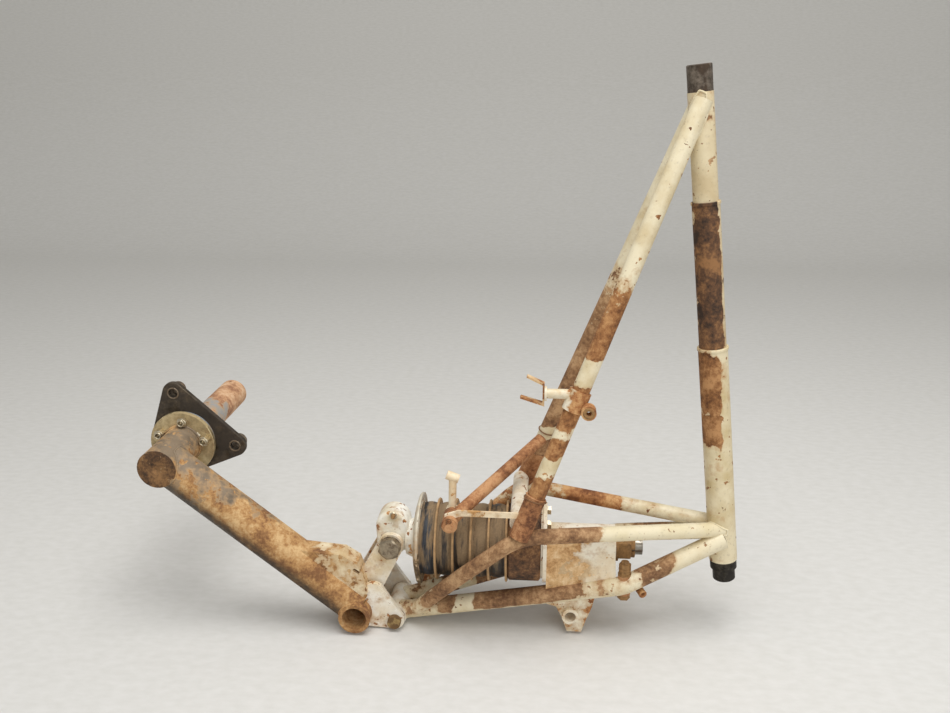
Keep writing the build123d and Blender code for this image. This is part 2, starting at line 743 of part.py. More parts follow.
with BuildPart() as wedge:
    with BuildSketch(side_plane(-19.5)):
        with BuildLine():
            Polyline(
                (-588, 42), (-531, 37), (-511, 24), (-497, -20), (-515, -52), (-560, -20),
                close=True,
            )
        make_face()
    extrude(amount=31)
    with BuildSketch(side_plane(0)):
        with Locations((-512, 13)):
            SlotOverall(11, 5, rotation=-35)
    extrude(amount=60, mode=Mode.SUBTRACT)
wedge_piece = trimmed(wedge.part, arm_solid, cross_tube_solid, *lugs, *ears)
save(wedge_piece, "wedge")

with BuildPart() as hinge_bolt:
    head_y = ear_out
    add(bar(Vector(hinge_x, -head_y - 4, hinge_z), Vector(hinge_x, head_y + 13, hinge_z), hinge_bolt_r))
    add(bar(Vector(hinge_x, -head_y, hinge_z), Vector(hinge_x, -head_y - 8, hinge_z), 9.5))
    add(bar(Vector(hinge_x, head_y, hinge_z), Vector(hinge_x, head_y + 2, hinge_z), 9.5))
    add(hexagon_bar(Vector(hinge_x, head_y + 2, hinge_z), (0, 1, 0), 17, 8.5))
save(hinge_bolt.part, "hinge_bolt")

with BuildPart() as collar_bolt:
    near_head = Vector(collar_x, -lug_out, pack_z)
    far_nut = Vector(collar_x, lug_out, pack_z)
    add(bar(near_head, far_nut + Vector(0, 18, 0), collar_bolt_r))
    add(bar(near_head, near_head - Vector(0, 2, 0), 15.5))
    add(hexagon_bar(near_head - Vector(0, 2, 0), (0, -1, 0), 28.6, 10))
    add(hexagon_bar(far_nut, (0, 1, 0), 28.6, 14))
save(collar_bolt.part, "collar_bolt")
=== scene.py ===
# %% [markdown]
# # A retractable main landing gear leg
# The real thing is a welded tube truss, a trailing arm and a stack of rubber discs between them,
# stood on a floor after years of work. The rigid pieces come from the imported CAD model, which is
# loaded here as a fixed frame. Blender adds what CAD leaves out: weld beads, wire, a thread, the
# rubber's moulded skin, and the finish of every surface.

# %% Load the frame
from math import ceil, cos, degrees, pi, radians, sin, sqrt, tan

import bpy
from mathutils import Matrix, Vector, noise


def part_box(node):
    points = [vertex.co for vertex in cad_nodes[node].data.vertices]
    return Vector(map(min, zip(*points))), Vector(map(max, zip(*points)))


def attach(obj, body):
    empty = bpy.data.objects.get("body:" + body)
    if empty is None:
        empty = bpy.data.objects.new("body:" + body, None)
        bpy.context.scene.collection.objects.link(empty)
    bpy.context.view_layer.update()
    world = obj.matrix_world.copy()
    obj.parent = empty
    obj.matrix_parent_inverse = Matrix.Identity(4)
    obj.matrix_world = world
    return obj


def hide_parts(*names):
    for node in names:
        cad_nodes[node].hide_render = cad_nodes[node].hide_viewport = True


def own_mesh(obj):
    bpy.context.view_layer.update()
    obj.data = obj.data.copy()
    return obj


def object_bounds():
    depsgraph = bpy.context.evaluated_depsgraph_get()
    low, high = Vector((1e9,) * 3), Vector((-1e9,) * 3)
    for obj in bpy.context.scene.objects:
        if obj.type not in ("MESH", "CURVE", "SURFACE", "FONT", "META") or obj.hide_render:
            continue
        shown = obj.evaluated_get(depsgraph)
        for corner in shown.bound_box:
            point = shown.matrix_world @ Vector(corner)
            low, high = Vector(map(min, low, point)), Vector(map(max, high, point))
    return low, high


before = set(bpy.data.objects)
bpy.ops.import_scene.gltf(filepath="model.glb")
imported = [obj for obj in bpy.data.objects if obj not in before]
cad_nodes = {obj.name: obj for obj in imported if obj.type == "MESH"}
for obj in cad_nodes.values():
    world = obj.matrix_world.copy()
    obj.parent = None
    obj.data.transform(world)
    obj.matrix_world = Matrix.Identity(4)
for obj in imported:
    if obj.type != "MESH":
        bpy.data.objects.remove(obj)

cad_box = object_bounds()

# %% [markdown]
# ## The leg's own measures
# Blender works in metres and the leg was measured in millimetres, so one function turns a place
# in millimetres into a Blender point. A few places are shared by many pieces and are named once.

# %% Name the shared places
MM = 0.001


def mm(x, y, z):
    """A place on the leg, given in millimetres."""
    return Vector((x, y, z)) * MM


def far(place):
    """The same place on the far side of the truss."""
    return Vector((place.x, -place.y, place.z))


lean = radians(6.8)
tube_up = Vector((-sin(lean), 0, cos(lean)))
node_b = mm(-286, -84, 92)
diagonal_top = mm(-75, -10.3, 645)
rail_end = mm(-9.7, -10, 77)
rail_waist = mm(-358, -69, 28)
rail_foot = mm(-430, -31, -52)
lower_foot = mm(-458, -18, -65)
lower_bend = mm(-144, -41.5, 2)
lower_end = mm(-8, -14, 65)
high_run_start = mm(-262, -48, -10)
high_run_bend = mm(-150, -42.5, 39.8)
arm_foot = mm(-515, -34, -48)
arm_head = mm(-777, -34, 163)
cross_tube_axis = mm(-515, 0, -54.6)
diagonal_r, rail_r, lower_tube_r = 11.5 * MM, 10.3 * MM, 12.7 * MM
tube_lower_r, tube_upper_r = 19.05 * MM, 15.85 * MM
arm_r, stub_r, cross_tube_r = 28.5 * MM, 26.5 * MM, 22.2 * MM
along_diagonal = (diagonal_top - node_b).normalized()
print("diagonal length, mm:", round((diagonal_top - node_b).length / MM))

# %% [markdown]
# ## Camera
# The photograph was taken nearly square to the leg's side, from about the height of its top and
# looking down. The lens is a 35 mm one on a 36 mm wide frame. A longer lens from further off could
# frame the leg alike, but its near and far sides would then look too much the same size.

# %% Place the camera
camera = bpy.data.objects.new("camera", bpy.data.cameras.new("camera"))
bpy.context.scene.collection.objects.link(camera)
camera.location = mm(-258.7, -1175.0, 671.7)
view_direction = Vector((-0.0744, 0.9539, -0.2908))
camera.rotation_euler = view_direction.to_track_quat("-Z", "Y").to_euler()
camera.data.sensor_width = 36.0
camera.data.lens = 35.01
camera.data.clip_start = 0.01
bpy.context.scene.camera = camera
print("camera looks down by", round(degrees(-view_direction.normalized().z), 1), "degrees")

# %% [markdown]
# ## Nodes for the finishes
# Every finish is a small network of shader nodes. One function adds a node, sets it up and wires
# it. Colours are chosen as sRGB hex, as on a paint card, and turned to linear light in one place.

# %% Colours
def hex_colour(code):
    """A paint card colour such as "C0AF8E" as linear light."""
    channels = [int(code[i:i + 2], 16) / 255 for i in (0, 2, 4)]
    linear = [c / 12.92 if c <= 0.04045 else ((c + 0.055) / 1.055) ** 2.4 for c in channels]
    return (*linear, 1.0)


print("cream enamel in linear light:", [round(c, 3) for c in hex_colour("DBD1B7")])

# %% Add a node
def node(tree, kind, inputs=None, **settings):
    """Add a shader node with its settings.

    An input given as a socket is linked, and one given as a node is linked to its first output.
    """
    made = tree.nodes.new("ShaderNode" + kind)
    for key, value in settings.items():
        setattr(made, key, value)
    for key, value in (inputs or {}).items():
        if isinstance(value, bpy.types.Node):
            value = value.outputs[0]
        if isinstance(value, bpy.types.NodeSocket):
            tree.links.new(value, made.inputs[key])
        else:
            made.inputs[key].default_value = value
    return made


print("every node below is added by", node.__name__)

# %% Start a material, and set a ramp's colours
def new_tree(name):
    """A material with an empty node tree, and where its surface goes."""
    material = bpy.data.materials.new(name)
    material.use_nodes = True
    material.node_tree.nodes.clear()
    output = node(material.node_tree, "OutputMaterial")
    return material, material.node_tree, output.inputs["Surface"]


def set_stops(ramp, stops):
    """Give a colour ramp its stops, each (position, linear colour)."""
    elements = ramp.color_ramp.elements
    while len(elements) > 1:
        elements.remove(elements[-1])
    elements[0].position, elements[0].color = stops[0]
    for position, colour in stops[1:]:
        elements.new(position).color = colour
    return ramp


cad_materials = len(bpy.data.materials)
print("materials that came with the CAD:", cad_materials)

# %% [markdown]
# ## Floor, backdrop and light
# A product table: one pale sheet that curves up behind the leg, where a floor and a wall would
# leave a hard line. A broad lamp overhead gives the tubes their soft highlight along the top, and a
# weaker one in front opens the shadows.

# %% Build the table
floor_z = cad_box[0][2]
sweep_start, sweep_radius, sheet_half = 2.6, 0.8, 6.0
profile = [(-3.5, 0.0), (sweep_start, 0.0)]
for step in range(1, 13):
    turn = radians(90 * step / 12)
    profile.append((sweep_start + sweep_radius * sin(turn), sweep_radius * (1 - cos(turn))))
profile.append((sweep_start + sweep_radius, 3.5))
sheet_points = [(x, y, floor_z + z) for y, z in profile for x in (-sheet_half, sheet_half)]
sheet_faces = [(2 * i, 2 * i + 1, 2 * i + 3, 2 * i + 2) for i in range(len(profile) - 1)]
sheet_mesh = bpy.data.meshes.new("table")
sheet_mesh.from_pydata(sheet_points, [], sheet_faces)
for face in sheet_mesh.polygons:
    face.use_smooth = True
table = bpy.data.objects.new("table", sheet_mesh)
bpy.context.scene.collection.objects.link(table)

paper, tree, surface = new_tree("pale_paper")
grain = node(tree, "TexNoise", {"Scale": 600.0, "Detail": 3.0})
tint = set_stops(node(tree, "ValToRGB", {"Fac": grain}), [
    (0.3, hex_colour("D3D1CC")), (0.7, hex_colour("DAD8D4")),
])
body = node(tree, "BsdfPrincipled", {"Base Color": tint, "Roughness": 0.9})
tree.links.new(body.outputs[0], surface)
table.data.materials.append(paper)
print("floor at", round(floor_z / MM, 1), "mm")

# %% Hang the lamps and light the room
def lamp(name, place, target, size, power):
    """A square soft lamp that looks at a target."""
    light = bpy.data.lights.new(name, "AREA")
    light.size = size
    light.energy = power
    made = bpy.data.objects.new(name, light)
    made.location = place
    made.rotation_euler = (Vector(target) - Vector(place)).to_track_quat("-Z", "Y").to_euler()
    bpy.context.scene.collection.objects.link(made)


leg_middle = (-0.35, 0.0, 0.2)
lamp("overhead", (-0.1, -0.5, 2.3), leg_middle, 1.6, 42.0)
lamp("front", (0.9, -2.4, 1.3), leg_middle, 1.4, 16.0)
world = bpy.data.worlds.new("room")
bpy.context.scene.world = world
world.use_nodes = True
world.node_tree.nodes["Background"].inputs["Color"].default_value = hex_colour("F2F2F0")
world.node_tree.nodes["Background"].inputs["Strength"].default_value = 0.55
bpy.context.scene.view_settings.view_transform = "Standard"
print("lamps:", len(bpy.data.lights))

# %% [markdown]
# ## Old enamel over rusting steel
# The truss is steel tube, sprayed with cream enamel and then knocked about: where the enamel has
# lifted, the steel has a brown bloom of rust. The wear could be painted on an unwrapped mesh, but
# a pattern worked out from the place in space needs no unwrapping and runs on across a weld.
# Paint fails in patches with crisp, stepped edges, so one cloudy pattern is cut by a threshold,
# and the threshold moves along each tube to say how much paint is left there.

# %% The patterns of worn enamel
# Each pattern has its real width in mm, then how much detail it has and how rough that is. Rust
# pits are under 1 mm wide and wouldn't show, so they are drawn as coarse as 1.6 mm.
WEAR_PATTERNS = {
    "wander": (14, 3, 0.6), "patch": (18, 8, 0.62), "chip": (11, 4, 0.55), "soil": (46, 5, 0.6),
    "broad_rust": (38, 5, 0.6), "fine_rust": (6, 8, 0.75), "grime": (5, 7, 0.7),
    "pits": (1.6, 4, 0.7),
}
# The next pattern mottles the arm's dark underside band, which is grease and painted shade.
GREASE_AND_SHADE_PATTERN = (20, 5, 0.6)
PAINT_EDGE = 0.012
PAINT_STEP = 0.5 * MM
# The last colour is the dark of grease and painted shade along the arm's underside.
STAINED_EDGE, GRIME, GREASE_AND_SHADE = "BC976A", "5E4834", "3E352B"
print("wear patterns, mm wide:", {word: rule[0] for word, rule in WEAR_PATTERNS.items()})

# %% How much of a thing there is along a direction
def share_along(tree, place, wander, stops, direction, wander_mm):
    """A ramp through stops of (place in mm, share), with an edge that wanders."""
    low, high = stops[0][0], stops[-1][0]
    along_it = node(tree, "VectorMath", {0: place, 1: direction}, operation="DOT_PRODUCT")
    shift = node(tree, "Math", {0: wander, 1: 0.5}, operation="SUBTRACT")
    moved = node(tree, "Math", {
        0: shift, 1: wander_mm * 4 * MM, 2: along_it.outputs["Value"],
    }, operation="MULTIPLY_ADD")
    unit = node(tree, "MapRange", {
        "Value": moved, "From Min": low * MM, "From Max": high * MM,
    })
    spots = [((at - low) / (high - low), (share, share, share, 1)) for at, share in stops]
    return set_stops(node(tree, "ValToRGB", {"Fac": unit}), spots)


print("paint edge, in shares of the pattern:", PAINT_EDGE)

# %% Where the steel is bare
def worn_places(tree, cloud, share, chips):
    """The wear's level, and where it is bare: worn patches, and single chips beside them."""
    worn = node(tree, "Math", {0: share, 1: 0.5}, operation="SUBTRACT")
    level = node(tree, "Math", {0: worn, 1: 0.85, 2: cloud["patch"]}, operation="MULTIPLY_ADD")
    patches = node(tree, "MapRange", {
        "Value": level, "From Min": 0.5 - PAINT_EDGE, "From Max": 0.5 + PAINT_EDGE,
    })
    single = node(tree, "MapRange", {
        "Value": cloud["chip"], "From Min": chips, "From Max": chips + PAINT_EDGE,
    })
    return level, node(tree, "Math", {0: patches, 1: single}, operation="MAXIMUM")


print("paint edge, mm high:", round(PAINT_STEP / MM, 1))

# %% The colours of soiled enamel and of rust
def coat_colour(tree, cloud, level, coat, soil):
    """Enamel, soiled in clouds and stained round each patch by the rust beside it."""
    soiled = node(tree, "MapRange", {"Value": cloud["soil"], "From Min": 0.42, "From Max": 0.66})
    paint = node(tree, "Mix", {
        0: soiled, 6: hex_colour(coat), 7: hex_colour(soil),
    }, data_type="RGBA").outputs[2]
    halo = node(tree, "MapRange", {
        "Value": level, "From Min": 0.34, "From Max": 0.5, "To Max": 0.75,
    })
    return node(tree, "Mix", {
        0: halo, 6: paint, 7: hex_colour(STAINED_EDGE),
    }, data_type="RGBA").outputs[2]


def rust_colour(tree, cloud, rust):
    """Rust in three tones from dark to pale, in broad clouds with a fine grain."""
    broad = node(tree, "Math", {0: cloud["broad_rust"], 1: 0.55}, operation="MULTIPLY")
    tone = node(tree, "Math", {0: cloud["fine_rust"], 1: 0.45, 2: broad}, operation="MULTIPLY_ADD")
    return set_stops(node(tree, "ValToRGB", {"Fac": tone}), [
        (0.41, hex_colour(rust[0])), (0.5, hex_colour(rust[1])), (0.59, hex_colour(rust[2])),
    ])


print("a stained edge in linear light:", [round(c, 3) for c in hex_colour(STAINED_EDGE)])

# %% The worn enamel finish
def enamel(name, coat, soil, rust, wear, along, spare=None, across=None, chips=0.66, gloss=0.42,
           grease_and_shade_band=None):
    """Enamel that has worn to rust.

    wear lists (place in mm, share from 0 to 1) along a direction, spare lists (place in mm,
    share kept) across it, and stain lists (place in mm, share) of a dark band across it:
    grease, and painted shade on an underside.
    chips is lower where single chips are common.
    """
    material, tree, surface = new_tree(name)
    place = node(tree, "TexCoord").outputs["Object"]
    patterns = dict(WEAR_PATTERNS, grease=GREASE_AND_SHADE_PATTERN) if grease_and_shade_band else WEAR_PATTERNS
    cloud = {}
    for word, (width, detail, roughness) in patterns.items():
        cloud[word] = node(tree, "TexNoise", {
            "Vector": place, "Scale": 1 / (width * MM), "Detail": detail, "Roughness": roughness,
        })
    share = share_along(tree, place, cloud["wander"], wear, along, 4)
    if spare:
        kept = share_along(tree, place, cloud["wander"], spare, across, 1.5)
        share = node(tree, "Math", {0: share, 1: kept}, operation="SUBTRACT")
    level, bare = worn_places(tree, cloud, share, chips)
    colour = node(tree, "Mix", {
        0: bare, 6: coat_colour(tree, cloud, level, coat, soil), 7: rust_colour(tree, cloud, rust),
    }, data_type="RGBA").outputs[2]
    grime = node(tree, "MapRange", {
        "Value": cloud["grime"], "From Min": 0.56, "From Max": 0.8, "To Max": 0.45,
    })
    colour = node(tree, "Mix", {
        0: grime, 6: colour, 7: hex_colour(GRIME),
    }, data_type="RGBA").outputs[2]
    # A dark band across the part: grease, and painted shade on the underside.
    if grease_and_shade_band:
        grease_and_shade = share_along(tree, place, cloud["wander"], grease_and_shade_band, across, 2)
        grease_and_shade = node(tree, "Math", {0: grease_and_shade, 1: cloud["grease"]}, operation="MULTIPLY")
        grease_and_shade = node(tree, "Math", {0: grease_and_shade, 1: 1.9}, operation="MULTIPLY")
        grease_and_shade = node(tree, "Math", {0: grease_and_shade, 1: 0.92}, operation="MINIMUM")
        colour = node(tree, "Mix", {
            0: grease_and_shade, 6: colour, 7: hex_colour(GREASE_AND_SHADE),
        }, data_type="RGBA").outputs[2]

    # Enamel keeps a gloss and stands a step above the rust, which is matt and pitted.
    rough = node(tree, "MapRange", {"Value": bare, "To Min": gloss, "To Max": 0.86})
    pits = node(tree, "Math", {0: cloud["pits"], 1: bare}, operation="MULTIPLY")
    pits = node(tree, "Math", {0: pits, 1: 0.7}, operation="MULTIPLY")
    relief = node(tree, "Math", {0: pits, 1: bare}, operation="SUBTRACT")
    bump = node(tree, "Bump", {"Height": relief, "Strength": 0.55, "Distance": PAINT_STEP})
    skin = node(tree, "BsdfPrincipled", {"Base Color": colour, "Roughness": rough, "Normal": bump})
    tree.links.new(skin.outputs[0], surface)
    return material


RUST = ("6A4930", "96704C", "BF9970")
DARK_RUST = ("35271D", "694930", "9B7249")
ORANGE_RUST = ("744526", "A97345", "CDA06C")
CREAM, CREAM_SOIL = "E6DABB", "CDB98F"
WHITE, WHITE_SOIL = "F3F0E6", "D6C8A8"
UP, RIGHT = (0, 0, 1), (1, 0, 0)
across_tube = (cos(lean), 0, sin(lean))
print("rust tones, dark to pale:", RUST, DARK_RUST, ORANGE_RUST)

# %% Paint the retraction tube
# Sprayed enamel, gone yellow. The upper tube is nearly whole, with chips at its weld ring.
finish_upper = enamel("enamel_tube_upper", "E0D1AE", "CBB790", RUST,
    [(480, 0.3), (512, 0.28), (530, 0.12), (580, 0.1), (625, 0.36), (655, 0.3)], UP, chips=0.64)
# The middle tube is nearly all dark rust, and keeps a little of its coat at the edges.
finish_middle = enamel("enamel_tube_middle", "DCCDAA", "BFA77C", ("34251B", "64452D", "946A42"),
    [(290, 0.6), (318, 0.8), (335, 1.0), (480, 1.0), (515, 0.85)], UP,
    [(-18, 0.45), (-15, 0.2), (-11, 0), (9, 0), (13, 0.5), (18, 0.9)], across_tube)
# The lower tube is sound below and worn in broad brown bands above.
finish_lower = enamel("enamel_tube_lower", "E2D4B2", "C8B384", ("56331B", "8C5E35", "B8895A"),
    [(20, 0.3), (45, 0.15), (85, 0.12), (100, 0.35), (120, 0.15), (165, 0.3), (190, 0.22),
     (208, 0.65), (235, 0.8), (246, 0.5), (256, 0.95), (300, 1.0), (322, 0.85), (332, 0.5)], UP,
    [(-20, 0.1), (-14, 0), (2, 0), (7, 0.6), (20, 0.75)], across_tube, chips=0.645)
print("retraction tube finishes: 3")

# %% Paint the truss
# Sprayed enamel on steel tube. On the diagonals it survives in bands, and is whole near the top.
finish_diagonal_near = enamel("enamel_diagonal_near", CREAM, CREAM_SOIL,
    ("5E371C", "96653A", "BE8E5C"),
    [(80, 1), (168, 0.95), (175, 0.7), (180, 0.1), (198, 0.1), (203, 0.9), (222, 0.9), (229, 0.3),
     (238, 0.3), (244, 0.75), (292, 0.75), (302, 0.15), (326, 0.12), (332, 0.7), (352, 0.8),
     (366, 0.78), (400, 0.62), (435, 0.4), (470, 0.12), (640, 0.07)], UP, chips=0.65)
finish_diagonal_far = enamel("enamel_diagonal_far", CREAM, CREAM_SOIL, RUST,
    [(80, 1), (103, 0.9), (110, 0.2), (130, 0.25), (140, 0.9), (166, 0.95), (172, 0.7), (175, 0.1),
     (189, 0.1), (194, 0.9), (250, 0.95), (330, 0.72), (400, 0.5), (460, 0.25), (640, 0.1)], UP)
# The rails are rusted through the middle of their length, brown on the near side and orange on
# the far one.
finish_rail_near = enamel("enamel_rail_near", CREAM, "DCCDA6", RUST,
    [(-432, 0.45), (-412, 0.5), (-395, 0.95), (-235, 1.0), (-200, 0.85), (-182, 0.6), (-170, 0.1),
     (-8, 0.1)], RIGHT)
finish_rail_far = enamel("enamel_rail_far", CREAM, CREAM_SOIL, ORANGE_RUST,
    [(-432, 0.6), (-262, 0.5), (-240, 0.5), (-225, 0.55), (-210, 0.85), (-155, 0.85), (-142, 0.4),
     (-60, 0.25), (-8, 0.1)], RIGHT)
# The lower tubes are spattered all along, and keep their coat on the upper side.
finish_lower_tubes = enamel("enamel_lower_tubes", CREAM, "D4C199", RUST,
    [(-460, 0.4), (-425, 0.45), (-405, 0.35), (-394, 0.8), (-380, 0.85), (-374, 0.1), (-353, 0.1),
     (-347, 0.7), (-325, 0.9), (-240, 0.85), (-215, 0.62), (-200, 0.48), (-160, 0.42), (-132, 0.4),
     (-118, 0.62), (-84, 0.66), (-70, 0.2), (-5, 0.1)], RIGHT,
    [(17, 0.8), (22, 0.6), (27, 0.1), (50, 0.0)], (-0.208, 0, 0.978), chips=0.645)
# The web plate's coat is the whitest, over rust as pale as sand.
finish_web = enamel("enamel_web", "F1E8D4", "DDC49B", ("AC7F50", "D6AD7A", "EACDA2"),
    [(-260, 0.7), (-235, 0.62), (-205, 0.52), (-185, 0.35), (-160, 0.2)], RIGHT, chips=0.64)
print("truss finishes:", len([m for m in bpy.data.materials if m.name.startswith("enamel")]) - 3)

# %% Paint the fittings
# Small welded parts: dull white, with orange rust in patches.
finish_hangers = enamel("enamel_hangers", "E9DFC8", "D3B98E", ORANGE_RUST,
    [(-235, 0.45), (-200, 0.4), (-170, 0.55)], RIGHT, chips=0.62)
finish_fitting = enamel("enamel_fittings", "F0E2C6", "DDBF92", ("8E6038", "C09058", "DFBA8A"),
    [(-395, 0.22), (-372, 0.3), (-350, 0.48), (-325, 0.35), (-290, 0.25)], RIGHT, chips=0.62)
finish_clamp = enamel("enamel_clamp", "EFE8D6", "D2BE98", ORANGE_RUST,
    [(-262, 0.2), (-232, 0.12), (-224, 0.5), (-212, 0.78), (-190, 0.85)], RIGHT, chips=0.62)
finish_fork = enamel("enamel_fork", "E3C69A", "C89A62", ORANGE_RUST,
    [(-300, 0.5), (-250, 0.5)], RIGHT, chips=0.62)
# The cast collar is whiter still, and more chipped than worn.
finish_casting = enamel("enamel_casting", WHITE, WHITE_SOIL, ORANGE_RUST,
    [(-500, 0.5), (-480, 0.32), (-445, 0.24), (-430, 0.42), (-420, 0.5)], RIGHT, chips=0.62)
# The end plate is soiled all over, to a grey brown.
finish_end_plate = enamel("enamel_end_plate", "CFC6B2", "A09078", ("54422F", "86704F", "A99370"),
    [(-90, 0.75), (-40, 0.55), (30, 0.5), (80, 0.35)], UP, chips=0.64)
finish_white = enamel("enamel_white", "F4EBD8", "DCC9A8", ORANGE_RUST,
    [(-300, 0.3), (-260, 0.28), (-240, 0.2), (-150, 0.35)], RIGHT, chips=0.63)
# Cuffs and sleeves have next to no coat left, only brown rust with a few crumbs of cream.
finish_brown = enamel("enamel_worn_away", "CDB591", "B99A70", ("623A22", "A06C44", "C29266"),
    [(-400, 0.97), (-200, 0.9)], RIGHT, chips=0.75)
finish_drum = enamel("enamel_drum", "B79A72", "8F7049", DARK_RUST,
    [(-310, 0.8), (-240, 0.9)], RIGHT, chips=0.75)
print("worn enamel finishes:", len([m for m in bpy.data.materials if m.name.startswith("enamel")]))

# %% [markdown]
# ## The trailing arm's rust
# The arm has lost nearly all its paint. Its upper side keeps a brown grey film of old primer, the
# middle is dusty tan and orange rust, and the underside is darkened by grease and by painted shade.
# It could have a network of its own, but the enamel's does this with primer as its coat: the film's
# share changes across the arm, and so does the dark band of grease and painted shade.

# %% The arm's finishes
arm_along = (arm_head - arm_foot).normalized()
arm_up = Vector((arm_along.z, 0, -arm_along.x))
arm_level = arm_foot.dot(arm_up) / MM
ARM_RUST = ("7C5433", "B08452", "D0AD7C")
# The dark band along the arm's underside is grease and painted shade.
finish_arm = enamel("primer_arm", "87755F", "5F5140", ARM_RUST,
    [(-815, 0.5), (-740, 0.58), (-680, 0.7), (-620, 0.88), (-560, 1.05), (-490, 1.1)], RIGHT,
    [(arm_level - 30, 0.2), (arm_level - 17, 0.3), (arm_level - 10, 0.0), (arm_level + 8, 0.0),
     (arm_level + 20, 0.2), (arm_level + 30, 0.3)], arm_up, chips=0.63, gloss=0.62,
    grease_and_shade_band=[(arm_level - 30, 0.6), (arm_level - 20, 1.0), (arm_level - 9, 0.8),
           (arm_level - 2, 0.2), (arm_level + 6, 0.0), (arm_level + 30, 0.0)])
# The cap is plain steel plate, and darker than the arm.
finish_cap = enamel("rust_arm_cap", "5E4D3A", "4A3D31", ("2E2218", "5E4229", "8E6840"),
    [(-830, 0.7), (-740, 0.6)], RIGHT, chips=0.7, gloss=0.6)
# The cross tube and what is welded to it are dusty, and the lugs still carry a pale coat.
finish_cross_tube = enamel("rust_cross_tube", "C9AE84", "B08B5C", ARM_RUST,
    [(-540, 0.8), (-490, 0.8)], RIGHT, chips=0.75, gloss=0.6)
finish_lugs = enamel("enamel_lugs", "F6F1E4", "DCC7A0", ORANGE_RUST,
    [(-540, 0.62), (-512, 0.42), (-490, 0.3), (-450, 0.3)], RIGHT, chips=0.63)
finish_wedge = enamel("enamel_wedge", "E6D7B6", "CDB184", ARM_RUST,
    [(-590, 0.7), (-560, 0.45), (-500, 0.42)], RIGHT, chips=0.63)
print("arm rises at", round(degrees(arm_along.angle(Vector((-1, 0, 0)))), 1), "degrees")

# %% [markdown]
# ## Bare and plated metals
# Journals, bolts, the hub flange and the torque plate have no enamel. They are steel that has
# dulled: still a metal, but rough, with films of rust and old grease that don't shine. A metal
# keeps Blender's own IOR, and the films take the metal share down where they lie.

# %% The metal finish
def metal(name, bright, dull, film, film_share, roughness, grain_mm, turned_marks=None):
    """A dulled metal. film is the colour of the dirt or rust on film_share of it."""
    material, tree, surface = new_tree(name)
    place = node(tree, "TexCoord").outputs["Object"]
    broad = node(tree, "TexNoise", {
        "Vector": place, "Scale": 1 / (3 * grain_mm * MM), "Detail": 7.0, "Roughness": 0.65,
    })
    fine = node(tree, "TexNoise", {
        "Vector": place, "Scale": 1 / (grain_mm * MM), "Detail": 8.0, "Roughness": 0.7,
    })
    cut = 0.72 - 0.44 * film_share
    covered = node(tree, "MapRange", {
        "Value": broad, "From Min": cut - 0.05, "From Max": cut + 0.05,
    })
    base = set_stops(node(tree, "ValToRGB", {"Fac": fine}), [
        (0.35, hex_colour(dull)), (0.65, hex_colour(bright)),
    ])
    film_tone = node(tree, "MapRange", {"Value": fine, "From Min": 0.3, "From Max": 0.7})
    dirt = node(tree, "Mix", {
        0: film_tone, 6: [c * 0.5 for c in hex_colour(film)[:3]] + [1], 7: hex_colour(film),
    }, data_type="RGBA").outputs[2]
    colour = node(tree, "Mix", {0: covered, 6: base, 7: dirt}, data_type="RGBA").outputs[2]
    shine = node(tree, "MapRange", {"Value": covered, "To Min": 0.85, "To Max": 0.05})
    rough = node(tree, "MapRange", {"Value": covered, "To Min": roughness, "To Max": 0.85})
    height = fine
    if turned_marks:
        marks = node(tree, "TexWave", {
            "Vector": place, "Scale": 1 / (turned_marks * MM), "Distortion": 0.6,
        }, bands_direction="Z")
        height = node(tree, "Math", {0: fine, 1: marks.outputs["Fac"]}, operation="ADD")
    bump = node(tree, "Bump", {"Height": height, "Strength": 0.35, "Distance": 0.25 * MM})
    skin = node(tree, "BsdfPrincipled", {
        "Base Color": colour, "Metallic": shine, "Roughness": rough, "Normal": bump,
    })
    tree.links.new(skin.outputs[0], surface)
    return material


print("finishes so far, with the paper:", len(bpy.data.materials) - cad_materials)

# %% Metal finishes
# Ground steel journals under old oil: brown, with a soft shine and the marks of the lathe.
finish_journal = metal("oiled_steel_journal", "8C8073", "4E453B", "4B3B2C", 0.5, 0.5, 7, 4.0)
finish_foot_journal = metal("oiled_steel_foot", "4A453D", "221F1A", "2A241D", 0.5, 0.45, 7)
# Cadmium plated bolts: pale, warm and dull. Heads that were greased or rained on are darker.
finish_bolt = metal("dull_cadmium_bolt", "D6CBB4", "B0A387", "A38D68", 0.22, 0.33, 3)
finish_big_head = metal("stained_bolt_head", "A89A84", "7E715E", "6E573F", 0.45, 0.3, 7)
finish_washer = metal("stained_washer", "6E5F4B", "453A2D", "54432F", 0.7, 0.55, 6)
finish_ochre_bolt = metal("yellowed_bolt", "BDA271", "8A7148", "7E5F3A", 0.6, 0.5, 4)
finish_rusty_bolt = metal("rusted_bolt", "B08E66", "6E5238", "A57D4E", 0.8, 0.6, 4)
# Zinc plate with a yellow passivation, which gives the flange its straw colour.
finish_zinc = metal("yellow_zinc_plate", "DAC79D", "B29D77", "BFA87C", 0.45, 0.42, 9)
# Blackened steel plate, handled and scuffed, so grey shows through a brown black.
finish_torque = metal("blackened_steel_plate", "6C6051", "3A3228", "443A2F", 0.6, 0.42, 12)
# Steel sleeves polished by sliding, a chromed rod, and bronze where something turns.
finish_sleeves = metal("worn_steel_sleeve", "9A8B78", "5F5244", "7A6650", 0.5, 0.5, 5)
finish_rod = metal("chromed_rod", "A9A49B", "7F786D", "6E5D49", 0.3, 0.3, 6)
finish_bronze = metal("bearing_bronze", "A98552", "7A5C33", "5E4A30", 0.4, 0.45, 6)
